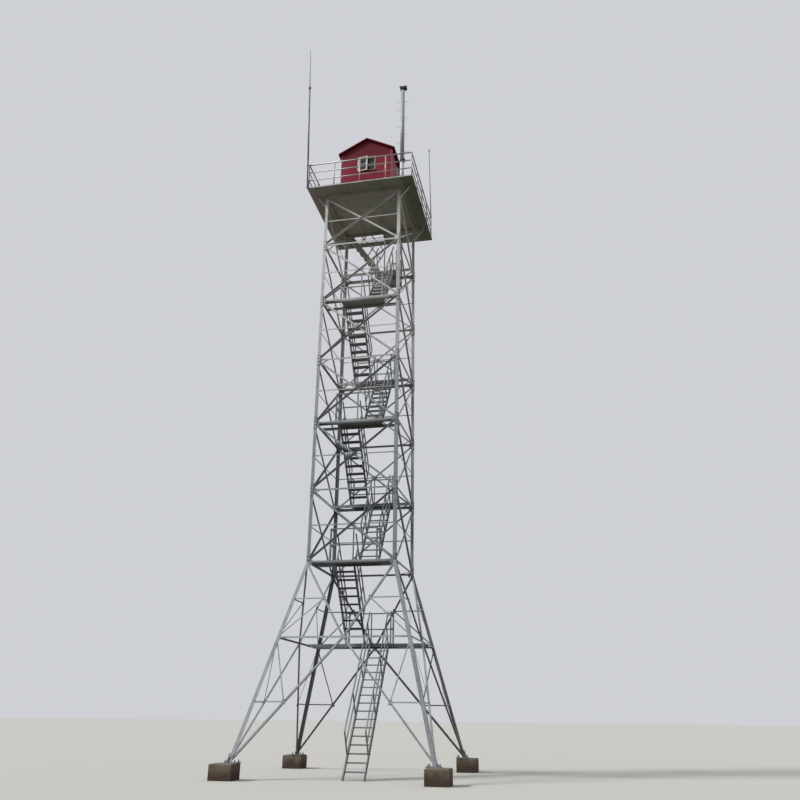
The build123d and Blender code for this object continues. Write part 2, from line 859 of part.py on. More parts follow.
# Windows in three walls: frame with a cross of bars, and panes behind it
window_centre = floor_top + window_sill + window_height / 2
window_planes = [
    Plane(origin=(0, -hut_half, window_centre), x_dir=(1, 0, 0), z_dir=(0, -1, 0)),
    Plane(origin=(-hut_half, 0, window_centre), x_dir=(0, -1, 0), z_dir=(-1, 0, 0)),
    Plane(origin=(0, hut_half, window_centre), x_dir=(-1, 0, 0), z_dir=(0, 1, 0)),
]
with BuildPart() as window_frames:
    for plane in window_planes:
        with BuildSketch(plane.offset(-frame_depth)):
            Rectangle(window_width - 2 * seat, window_height - 2 * seat)
            Rectangle(window_width - 2 * frame_bar, window_height - 2 * frame_bar, mode=Mode.SUBTRACT)
            Rectangle(frame_bar, window_height - 2 * seat)
            Rectangle(window_width - 2 * seat, cross_bar)
        extrude(amount=frame_depth)
save(window_frames, "window_frames")

with BuildPart() as window_panes:
    for plane in window_planes:
        with BuildSketch(plane.offset(-frame_depth - seat - glass_thick)):
            Rectangle(window_width - 2 * seat, window_height - 2 * seat)
        extrude(amount=glass_thick)
save(window_panes, "window_panes")

# Door on the right side, shut
door_plane = Plane(origin=(hut_half, door_centre, floor_top), x_dir=(0, 1, 0), z_dir=(1, 0, 0))
with BuildPart() as door_frame:
    with BuildSketch(door_plane.offset(-wall_thick)):
        Rectangle(door_width - 2 * seat, door_height - seat, align=(Align.CENTER, Align.MIN))
        clear_size = (door_width - 2 * door_frame_bar, door_height - door_frame_bar)
        Rectangle(*clear_size, align=(Align.CENTER, Align.MIN), mode=Mode.SUBTRACT)
    extrude(amount=wall_thick)
save(door_frame, "door_frame")

with BuildPart() as hut_door:
    leaf_width = door_width - 2 * door_frame_bar - 2 * seat
    leaf_height = door_height - door_frame_bar - 2 * seat
    with BuildSketch(door_plane.offset(-door_thick)):
        with Locations((0, seat)):
            Rectangle(leaf_width, leaf_height, align=(Align.CENTER, Align.MIN))
    extrude(amount=door_thick)
    edge = -leaf_width / 2 + handle_edge
    with BuildSketch(door_plane):
        with Locations((edge, leaf_height / 2)):
            Rectangle(handle_plate_width, handle_plate_height)
    extrude(amount=handle_plate_thick)
    with BuildSketch(door_plane.offset(handle_plate_thick)):
        with Locations((edge - handle_plate_width / 2 + lever_length / 2, leaf_height / 2 + lever_lift)):
            Rectangle(lever_length, lever_thick)
    extrude(amount=lever_reach)
save(hut_door, "hut_door")

# Mast for the camera, near the front right leg
mast_base = deck_top + seat
mast_x = body_half + mast_shift
mast_y = -body_half
with BuildPart() as camera_mast:
    with BuildSketch(Plane(origin=(mast_x, mast_y, mast_base))):
        Rectangle(mast_flange, mast_flange)
    extrude(amount=mast_flange_thick)
    with BuildSketch(Plane(origin=(mast_x, mast_y, mast_base))):
        RegularPolygon(mast_radius, 12)
    extrude(amount=mast_height)
    with BuildSketch(Plane(origin=(mast_x, mast_y, mast_base + mast_height))):
        RegularPolygon(cap_radius, 12)
    extrude(amount=mast_flange_thick)
    pegs = [(i, -1 if i % 2 else 1) for i in range(peg_count)] + [(peg_count - 1, -1)]
    for i, hand in pegs:
        peg_plane = Plane(origin=(mast_x, mast_y, mast_base + first_peg + peg_spacing * i), z_dir=(hand, 0, 0))
        with BuildSketch(peg_plane):
            RegularPolygon(peg_radius, 4)
        extrude(amount=mast_radius + peg_length)
save(camera_mast, "camera_mast")

mast_top = mast_base + mast_height + mast_flange_thick + seat
with BuildPart() as mast_camera:
    with BuildSketch(Plane(origin=(mast_x, mast_y, mast_top))):
        Rectangle(camera_foot, camera_foot)
    extrude(amount=camera_foot_height)
    half = camera_width / 2
    top = camera_height - camera_shoulder
    left_end = (mast_x + camera_shift - camera_length / 2, mast_y, mast_top + camera_foot_height)
    with BuildSketch(Plane(origin=left_end, x_dir=(0, 1, 0), z_dir=(1, 0, 0))):
        with BuildLine():
            Polyline(
                (-half, 0), (half, 0), (half, top), (half - camera_shoulder, camera_height),
                (camera_shoulder - half, camera_height), (-half, top), close=True,
            )
        make_face()
    extrude(amount=camera_length)
save(mast_camera, "mast_camera")

# Small ball lamp on a band round the mast, at the height of the guard rail
lamp_height = deck_top + lamp_lift
with BuildPart() as mast_lamp:
    with BuildSketch(Plane(origin=(mast_x, mast_y, lamp_height - band_height / 2))):
        RegularPolygon(mast_radius + band_thick + seat, 12)
        RegularPolygon(mast_radius + seat, 12, mode=Mode.SUBTRACT)
    extrude(amount=band_height)
    lamp_way = Vector(cos(radians(lamp_turn)), sin(radians(lamp_turn)), 0)
    mast_axis = Vector(mast_x, mast_y, lamp_height)
    with BuildSketch(Plane(origin=mast_axis + lamp_way * (mast_radius + band_thick / 2), z_dir=lamp_way)):
        Rectangle(lamp_arm, lamp_arm)
    extrude(amount=lamp_radius)
    ball_foot = mast_axis + lamp_way * (mast_radius + lamp_radius) - Vector(0, 0, lamp_radius)
    with BuildSketch(Plane(origin=ball_foot)):
        RegularPolygon(lamp_radius, 8)
    extrude(amount=2 * lamp_radius)
save(mast_lamp, "mast_lamp")

# Whip aerial on a leaning pole, clamped in front of the platform near its left corner
def leaning(base, lean, height):
    """Point on a pole that leans to the left, at a height above its base."""
    return Vector(base.X - height * tan(radians(lean)), base.Y, base.Z + height)


aerial_y = -platform_half - seat - aerial_pole_radius
aerial_foot = Vector(-aerial_left, aerial_y, deck_top - aerial_drop)
clamps = [
    (aerial_drop - deck_thick - joist_depth / 2, platform_half + seat),
    (aerial_drop + guard_height - aerial_clamp_height, guard_half + guard_pipe / 2 + seat),
]
with BuildPart() as corner_aerial:
    pole_height = aerial_drop + aerial_pole_height
    pole_end = leaning(aerial_foot, aerial_lean, pole_height)
    whip_end = leaning(aerial_foot, aerial_lean, pole_height + aerial_whip_height)
    knob_low = leaning(aerial_foot, aerial_lean, pole_height - aerial_knob_radius)
    knob_high = leaning(aerial_foot, aerial_lean, pole_height + aerial_knob_radius)
    add(pipe(aerial_foot, pole_end, aerial_pole_radius, 8))
    add(pipe(knob_low, knob_high, aerial_knob_radius, 8))
    add(pipe(pole_end, whip_end, aerial_whip_radius, 6))
    for height, near in clamps:
        centre = leaning(aerial_foot, aerial_lean, height)
        far = aerial_pole_radius - aerial_y
        with BuildSketch(Plane(origin=(centre.X, -(near + far) / 2, centre.Z - aerial_clamp_height / 2))):
            Rectangle(aerial_clamp_width, far - near)
        extrude(amount=aerial_clamp_height)
save(corner_aerial, "corner_aerial")

# Thin whip on top of the back right corner post
whip_foot = Vector(guard_half, guard_back, deck_top + guard_height + 2 * seat)
with BuildPart() as rear_whip:
    with BuildSketch(Plane(origin=whip_foot)):
        RegularPolygon(whip_socket_radius, 8)
    extrude(amount=whip_socket_height)
    whip_start = leaning(whip_foot, rear_whip_lean, whip_socket_height / 2)
    knob_start = leaning(whip_foot, rear_whip_lean, rear_whip_height - rear_knob_height)
    whip_end = leaning(whip_foot, rear_whip_lean, rear_whip_height)
    add(pipe(whip_start, whip_end, rear_whip_radius))
    add(pipe(knob_start, whip_end, rear_knob_radius))
save(rear_whip, "rear_whip")
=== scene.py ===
"""Steel lattice watch tower: finishes and fine fittings laid over the CAD frame, in metres."""

import json
import logging
from dataclasses import dataclass, field
from enum import Enum
from functools import cached_property
from math import atan, cos, pi, radians, sin, sqrt, tan, tau
from typing import Iterable, Sequence

import bmesh
import bpy
from mathutils import Matrix, Vector


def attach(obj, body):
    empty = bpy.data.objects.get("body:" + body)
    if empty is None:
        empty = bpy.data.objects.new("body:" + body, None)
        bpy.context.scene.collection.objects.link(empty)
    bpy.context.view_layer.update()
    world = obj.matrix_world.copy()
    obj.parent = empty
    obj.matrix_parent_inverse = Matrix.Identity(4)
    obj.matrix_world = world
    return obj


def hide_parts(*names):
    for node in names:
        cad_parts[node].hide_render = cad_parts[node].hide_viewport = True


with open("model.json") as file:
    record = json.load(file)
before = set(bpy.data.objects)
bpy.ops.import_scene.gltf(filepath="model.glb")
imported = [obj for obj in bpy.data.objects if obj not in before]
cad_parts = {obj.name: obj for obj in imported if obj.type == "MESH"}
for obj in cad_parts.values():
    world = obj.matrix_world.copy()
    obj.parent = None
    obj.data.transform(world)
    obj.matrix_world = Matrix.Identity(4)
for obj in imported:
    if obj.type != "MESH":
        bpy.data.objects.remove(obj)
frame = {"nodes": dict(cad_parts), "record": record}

LOG = logging.getLogger("watch_tower")
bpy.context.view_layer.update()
X, Y, UP = (Vector(axis) for axis in ((1.0, 0.0, 0.0), (0.0, 1.0, 0.0), (0.0, 0.0, 1.0)))
CORNERS = ((-1, -1), (1, -1), (1, 1), (-1, 1))
HAIR = 0.0005
Material = bpy.types.Material
Node = bpy.types.Node
Socket = bpy.types.NodeSocket
Tree = bpy.types.NodeTree
Outline = Sequence[tuple[float, float]]


class Side(Enum):
    """Sides of the tower, by the angle of the direction out of each in degrees."""

    FRONT = -90.0
    RIGHT = 0.0
    BACK = 90.0
    LEFT = 180.0


class Slot(Enum):
    """Material slots of the record."""

    STEEL = "galvanised_steel"
    CONCRETE = "concrete"
    DECK = "deck_plate"
    SOFFIT = "soffit_sheet"
    FLOOR = "floor_board"
    PANEL = "red_panel"
    ROOF = "roof_panel"
    DOOR = "door_paint"
    FRAME = "white_frame"
    GLASS = "window_glass"
    MAST = "mast_paint"
    HOUSING = "dark_housing"


# Finishes


def linear(code: str) -> tuple[float, float, float, float]:
    """Turns an sRGB hex colour into the linear values that a shader takes.

    Args:
        code: Six hex digits with a leading hash.

    Returns:
        Linear red, green and blue, and an alpha of 1.
    """
    values = [int(code[i : i + 2], 16) / 255.0 for i in (1, 3, 5)]
    red, green, blue = (v / 12.92 if v <= 0.04045 else ((v + 0.055) / 1.055) ** 2.4 for v in values)
    return (red, green, blue, 1.0)


def feed(tree: Tree, socket: Socket, value: object) -> None:
    """Gives an input socket a plain value, or links another node's output to it.

    Args:
        tree: The socket's tree.
        socket: The input socket.
        value: Plain value or output socket.
    """
    if isinstance(value, Socket):
        tree.links.new(value, socket)
    else:
        socket.default_value = value


def add_node(tree: Tree, kind: str, links: dict | None = None, **settings: object) -> Node:
    """Adds one node with its settings, socket values and incoming links.

    Args:
        tree: The shader or geometry tree.
        kind: Blender's name of the node type.
        links: Input socket by name or number, to a value or to another node's output socket.
        settings: Properties of the node.

    Returns:
        The new node.
    """
    made = tree.nodes.new(kind)
    for name, value in settings.items():
        setattr(made, name, value)
    for key, value in (links or {}).items():
        feed(tree, made.inputs[key], value)
    return made


class Pen:
    """Draws the nodes of one material, from its object coordinates to its Principled shader."""

    def __init__(self, tree: Tree) -> None:
        """Finds the shader in the material's tree."""
        self.tree = tree
        self.shader = next(node for node in tree.nodes if node.type == "BSDF_PRINCIPLED")

    @cached_property
    def place(self) -> Socket:
        """The object coordinates."""
        return self.add("TexCoord").outputs["Object"]

    def add(self, kind: str, links: dict | None = None, **settings: object) -> Node:
        """Adds a shader node, named without the first part of its type."""
        return add_node(self.tree, "ShaderNode" + kind, links, **settings)

    def feed(self, socket: str, value: object) -> None:
        """Gives one of the shader's own sockets a plain value or another node's output."""
        feed(self.tree, self.shader.inputs[socket], value)

    def split(self, vector: Socket) -> bpy.types.NodeOutputs:
        """The X, Y and Z sockets of a vector."""
        return self.add("SeparateXYZ", {0: vector}).outputs

    def noise(self, size: float, detail: float = 4.0,
              stretch: tuple[float, float, float] = (1.0, 1.0, 1.0)) -> Socket:
        """Cloudy noise whose patches are about one real size across.

        Args:
            size: Size of a patch in metres.
            detail: Number of finer layers.
            stretch: Factors on the coordinates, below 1 where the patches run long.

        Returns:
            The noise's value, 0 to 1.
        """
        turned = self.add("Mapping", {"Vector": self.place, "Scale": stretch}).outputs[0]
        values = {"Vector": turned, "Scale": 1.0 / size, "Detail": detail, "Roughness": 0.6}
        return self.add("TexNoise", values).outputs[0]

    def ramp(self, value: Socket, low: float, high: float) -> Socket:
        """Stretches a value so that low becomes 0 and high becomes 1, eased and clamped."""
        ends = {"Value": value, "From Min": low, "From Max": high}
        return self.add("MapRange", ends, interpolation_type="SMOOTHSTEP").outputs[0]

    def blend(self, share: Socket | float, first: Socket | str, second: Socket | str,
              way: str = "MIX") -> Socket:
        """Mixes two colours, each a socket or a hex code, by the share of the second."""
        start, end = (linear(colour) if isinstance(colour, str) else colour for colour in (first, second))
        return self.add("Mix", {0: share, 6: start, 7: end}, data_type="RGBA", blend_type=way).outputs[2]

    def math(self, way: str, first: Socket, second: Socket | float = 0.0) -> Socket:
        """One step of arithmetic."""
        return self.add("Math", {0: first, 1: second}, operation=way).outputs[0]

    def plus(self, first: Socket, second: Socket | float) -> Socket:
        """Sum of two values."""
        return self.math("ADD", first, second)

    def times(self, first: Socket, second: Socket | float) -> Socket:
        """Product of two values."""
        return self.math("MULTIPLY", first, second)

    def lines(self, value: Socket, pitch: float, low: float, high: float) -> Socket:
        """Repeats every pitch along a value: eased from 0 at low to 1 at high from each line."""
        return self.ramp(self.math("PINGPONG", value, pitch / 2), low, high)

    def roughen(self, value: Socket, spread: float, least: float) -> None:
        """Lets the roughness grow with a value from its least."""
        self.feed("Roughness", self.plus(self.times(value, spread), least))

    def bump(self, height: Socket, depth: float, strength: float) -> None:
        """Gives the shader a relief of a real depth in metres."""
        values = {"Height": height, "Distance": depth, "Strength": strength}
        self.feed("Normal", self.add("Bump", values).outputs[0])


@dataclass(frozen=True)
class Finish:
    """Common part of every finish: its name and the plain values of its shader."""

    name: str
    roughness: float = 0.5
    metallic: float = 0.0
    ior: float = 1.5

    def make(self) -> Material:
        """Makes the material and draws its nodes.

        Returns:
            The finished material.
        """
        material = bpy.data.materials.new(self.name)
        material.use_nodes = True
        pen = Pen(material.node_tree)
        pen.feed("Roughness", self.roughness)
        pen.feed("Metallic", self.metallic)
        pen.feed("IOR", self.ior)
        self.draw(pen)
        return material

    def draw(self, pen: Pen) -> None:
        """Draws what the kind of finish adds."""


@dataclass(frozen=True)
class HotDipGalvanisedSteel(Finish):
    """Rolled steel dipped in zinc: weathered to a dull grey skin with faint crystals and rain streaks."""

    light: str = "#C6C6C2"
    dull: str = "#9EA1A3"
    stain: str = "#7A7064"
    spangle: float = 0.05
    cloud: float = 0.9
    streak: float = 0.12
    stain_share: float = 0.35
    painted_shade_low: str = "#BEC3CA"
    tint_from: float = 9.0
    tint_to: float = 20.0

    def draw(self, pen: Pen) -> None:
        """Draws the crystals, the clouded zinc, the streaks and the painted shade by height.

        Args:
            pen: Draws the nodes.
        """
        # Zinc crystals are 5 to 15 mm wide; they are drawn 50 mm wide so that they show at this distance.
        scale = {"Vector": pen.place, "Scale": 1.0 / self.spangle}
        crystal = pen.add("TexVoronoi", scale, feature="F1").outputs
        cloud = pen.noise(self.cloud, 6.0)
        patch = pen.ramp(pen.plus(cloud, pen.times(crystal["Color"], 0.35)), 0.35, 0.85)
        zinc = pen.blend(patch, self.dull, self.light)
        # Rain carries dust down the bars, so the streaks run long in height.
        streak = pen.noise(self.streak, 5.0, (1.0, 1.0, 0.08))
        skin = pen.blend(pen.times(pen.ramp(streak, 0.55, 0.8), self.stain_share), zinc, self.stain)
        # Painted shade: low on the tower the zinc is darkened and turned bluer than under the platform.
        low = pen.ramp(pen.split(pen.place)["Z"], self.tint_to, self.tint_from)
        pen.feed("Base Color", pen.blend(low, skin, self.painted_shade_low, "MULTIPLY"))
        pen.roughen(cloud, 0.25, self.roughness - 0.12)
        pen.bump(crystal["Distance"], 0.0006, 0.25)


@dataclass(frozen=True)
class CastConcrete(Finish):
    """Concrete cast between boards: pale where rain washes it, brown where splashes reach."""

    clean: str = "#7E7468"
    splashed: str = "#4C3E34"
    dark_grit: str = "#4A4038"
    pale_grit: str = "#C9BFB0"
    height: float = 0.45
    cloud: float = 0.28
    grit: float = 0.012
    board: float = 0.15

    def draw(self, pen: Pen) -> None:
        """Draws the splashes, the grit and the lines of the boards.

        Args:
            pen: Draws the nodes.
        """
        cloud, grit = pen.noise(self.cloud, 8.0), pen.noise(self.grit, 2.0)
        level = pen.split(pen.place)["Z"]
        splash = pen.math("SUBTRACT", pen.times(cloud, 1.5), pen.math("DIVIDE", level, self.height))
        base = pen.blend(pen.ramp(splash, -0.35, 0.55), self.clean, self.splashed)
        sand = pen.blend(grit, self.dark_grit, self.pale_grit)
        pen.feed("Base Color", pen.blend(0.35, base, sand, "OVERLAY"))
        relief = pen.plus(pen.times(cloud, 0.6), pen.times(grit, 0.5))
        line = pen.lines(level, self.board, 0.0, 0.006)
        pen.bump(pen.plus(relief, pen.times(line, 0.3)), 0.006, 0.7)


@dataclass(frozen=True)
class PaintedSheet(Finish):
    """Coil-coated steel sheet of the hut, with shallow ribs rolled into it and dust along the bottom."""

    paint: str = "#8B1A30"
    faded: str = "#97253C"
    dust: str = "#5F272F"
    cloud: float = 0.5
    streak: float = 0.05
    rib: float = 0.1
    rib_depth: float = 0.002
    bottom: float = 21.55
    dust_height: float = 0.6
    painted_eave_shade: str = "#6A1224"
    eave_shade_from: float = 23.3
    eave_shade_to: float = 23.8

    def draw(self, pen: Pen) -> None:
        """Draws the faded paint, the painted shade under the eaves, the dust and the ribs.

        Args:
            pen: Draws the nodes.
        """
        # The coating is semi-matt, so little of the pale sky washes its red out.
        pen.feed("Specular IOR Level", 0.2)
        x, y, z = pen.split(pen.place)
        colour = pen.blend(pen.ramp(pen.noise(self.cloud, 5.0), 0.4, 0.75), self.paint, self.faded)
        # Painted shade: under the roof's overhang the gable is painted a deeper red than the wall.
        colour = pen.blend(pen.ramp(z, self.eave_shade_from, self.eave_shade_to), colour, self.painted_eave_shade)
        streak = pen.noise(self.streak, 4.0, (1.0, 1.0, 0.05))
        low = pen.ramp(pen.math("SUBTRACT", z, self.bottom), self.dust_height, 0.0)
        dirt = pen.times(pen.plus(pen.times(low, 0.5), 0.25), streak)
        pen.feed("Base Color", pen.blend(dirt, colour, self.dust))
        # Every wall lies along x or y, so the sum runs along both kinds and the ribs stand upright.
        pen.bump(pen.lines(pen.plus(x, y), self.rib, 0.01, 0.02), self.rib_depth, 0.8)
        pen.roughen(streak, 0.2, self.roughness - 0.1)


@dataclass(frozen=True)
class WeatheredPlate(Finish):
    """Mild steel chequer plate: dark oxide in olive and brown, worn bright on the studs above."""

    olive: str = "#45463D"
    brown: str = "#544B44"
    grey: str = "#3B3E3D"
    bright: str = "#8A8880"
    patch: float = 1.6
    spot: float = 0.35
    stud: float = 0.06

    def draw(self, pen: Pen) -> None:
        """Draws the oxide and the studs.

        Args:
            pen: Draws the nodes.
        """
        x, y, _ = pen.split(pen.place)
        oxide = pen.blend(pen.ramp(pen.noise(self.patch, 3.0), 0.4, 0.62), self.olive, self.brown)
        spot = pen.ramp(pen.noise(self.spot, 6.0, (1.0, 0.45, 1.0)), 0.5, 0.72)
        colour = pen.blend(spot, oxide, self.grey)
        # Studs of chequer plate are 30 mm apart; they are drawn at 60 mm so that they show.
        slants = [pen.times(pen.math(way, x, y), tau / self.stud / 2) for way in ("ADD", "SUBTRACT")]
        studs = pen.ramp(pen.times(*(pen.math("SINE", slant) for slant in slants)), 0.25, 0.6)
        above = pen.split(pen.add("NewGeometry").outputs["Normal"])["Z"]
        top = pen.times(pen.ramp(above, 0.5, 0.9), studs)
        worn = pen.blend(pen.times(top, 0.6), colour, self.bright)
        pen.feed("Base Color", self.laid(pen, worn, x, y))
        pen.bump(top, 0.002, 0.8)

    def laid(self, pen: Pen, colour: Socket, x: Socket, y: Socket) -> Socket:
        """The colour as it is where the plates lie; plates of the walkway are all alike."""
        return colour


@dataclass(frozen=True)
class SoffitSheet(WeatheredPlate):
    """The same plate as sheets under the platform, which butt against each other."""

    sheet: float = 1.09
    joint: str = "#1D1D19"
    edge_from: float = 1.6
    right_edge_painted_shade: str = "#C4D2C8"
    rim_from: float = 1.5
    rim_tint: str = "#E4E4E4"

    def laid(self, pen: Pen, colour: Socket, x: Socket, y: Socket) -> Socket:
        """Adds the joints, the painted shade of the right edge's sheets and the darker rim to the colour.

        Args:
            pen: Draws the nodes.
            colour: The plate's colour.
            x: Coordinate across the tower.
            y: Coordinate along it.

        Returns:
            The colour of the sheets.
        """
        # Where two sheets butt there is a thin dark line.
        butt = pen.lines(y, self.sheet, 0.012, 0.004)
        colour = pen.blend(pen.times(butt, 0.55), colour, self.joint)
        # Painted shade: the sheets of the right edge are darker and greener than the others.
        edge = pen.ramp(x, self.edge_from, self.edge_from + 0.15)
        colour = pen.blend(edge, colour, self.right_edge_painted_shade, "MULTIPLY")
        # Outside the legs all the sheets are a shade darker than between them.
        outer = pen.math("MAXIMUM", *(pen.math("ABSOLUTE", axis) for axis in (x, y)))
        rim = pen.ramp(outer, self.rim_from, self.rim_from + 0.1)
        return pen.blend(rim, colour, self.rim_tint, "MULTIPLY")


@dataclass(frozen=True)
class FloorBoard(Finish):
    """Softwood boards of the hut floor, weathered brown, with grain and dark joints."""

    light: str = "#6A5A4C"
    dark: str = "#43382F"
    gap: str = "#1E1915"
    board: float = 0.15
    grain: float = 0.03
    tone: float = 0.6

    def draw(self, pen: Pen) -> None:
        """Draws the grain and the joints.

        Args:
            pen: Draws the nodes.
        """
        grain = pen.noise(self.grain, 6.0, (0.06, 1.0, 1.0))
        shade = pen.plus(pen.times(grain, 0.6), pen.times(pen.noise(self.tone, 2.0), 0.4))
        colour = pen.blend(pen.ramp(shade, 0.35, 0.65), self.light, self.dark)
        joint = pen.lines(pen.split(pen.place)["Y"], self.board, 0.0, 0.006)
        pen.feed("Base Color", pen.blend(joint, self.gap, colour))
        pen.bump(pen.plus(joint, pen.times(grain, 0.2)), 0.003, 0.6)


@dataclass(frozen=True)
class Enamel(Finish):
    """Paint on metal, plastic profile or housing: one colour with slight fading and dust."""

    paint: str = "#70757B"
    faded: str = "#888C90"
    dust: str = "#5E5A54"
    cloud: float = 0.35
    streak: float = 0.06
    orange_peel: float = 0.004

    def draw(self, pen: Pen) -> None:
        """Draws the fading, the dust and the slight unevenness of the paint.

        Args:
            pen: Draws the nodes.
        """
        cloud = pen.noise(self.cloud, 5.0)
        colour = pen.blend(pen.ramp(cloud, 0.35, 0.7), self.paint, self.faded)
        dirt = pen.times(pen.ramp(pen.noise(self.streak, 4.0, (1.0, 1.0, 0.1)), 0.5, 0.8), 0.3)
        pen.feed("Base Color", pen.blend(dirt, colour, self.dust))
        pen.roughen(cloud, 0.2, self.roughness - 0.1)
        pen.bump(pen.noise(self.orange_peel, 1.0), 0.0003, 0.2)


@dataclass(frozen=True)
class FloatGlass(Finish):
    """Window glass in front of a dim room: dark, smooth, with a film of dust in patches."""

    tint: str = "#2A3230"
    dust: str = "#6A6F68"
    film: float = 0.18

    def draw(self, pen: Pen) -> None:
        """Draws the film of dust.

        Args:
            pen: Draws the nodes.
        """
        film = pen.ramp(pen.noise(self.film, 5.0), 0.45, 0.8)
        pen.feed("Base Color", pen.blend(pen.times(film, 0.35), self.tint, self.dust))
        pen.roughen(film, 0.2, self.roughness)
        pen.feed("Transmission Weight", 0.3)


@dataclass(frozen=True)
class StudioFloor(Finish):
    """Plain floor that looks pale to the camera, but throws less light back up."""

    pale: str = "#C9C7C2"
    bounce: str = "#7B766C"

    def draw(self, pen: Pen) -> None:
        """Draws one colour for the camera and one for the light that comes back.

        Args:
            pen: Draws the nodes.
        """
        pen.feed("Specular IOR Level", 0.1)
        seen = pen.add("LightPath").outputs["Is Camera Ray"]
        pen.feed("Base Color", pen.blend(seen, self.bounce, self.pale))


# Shapes


def heading(degrees: float) -> Vector:
    """Level direction at an angle from the x axis."""
    return Vector((cos(radians(degrees)), sin(radians(degrees)), 0.0))


def stance(origin: Vector, along: Vector, facing: Vector | None = None) -> Matrix:
    """Matrix that puts a shape drawn on the z axis at a place.

    Args:
        origin: Where the shape's origin goes.
        along: Where its z axis points.
        facing: Roughly where its x axis points.

    Returns:
        The placing matrix.
    """
    z = along.normalized()
    if facing is None:
        facing = X if abs(z.x) < 0.9 else Y
    y = z.cross(facing).normalized()
    return Matrix.Translation(origin) @ Matrix((y.cross(z), y, z)).transposed().to_4x4()


def settle(name: str, data: bpy.types.Mesh, replaces: Iterable[str] = ()) -> None:
    """Puts a mesh into the scene as a piece that rides on the tower.

    Args:
        name: Name of the piece.
        data: Its mesh, with its material.
        replaces: CAD nodes that it stands for.
    """
    piece = bpy.data.objects.new(name, data)
    bpy.context.scene.collection.objects.link(piece)
    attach(piece, "root")
    if replaces:
        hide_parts(*replaces)
    LOG.info("%s: %d faces", name, len(data.polygons))


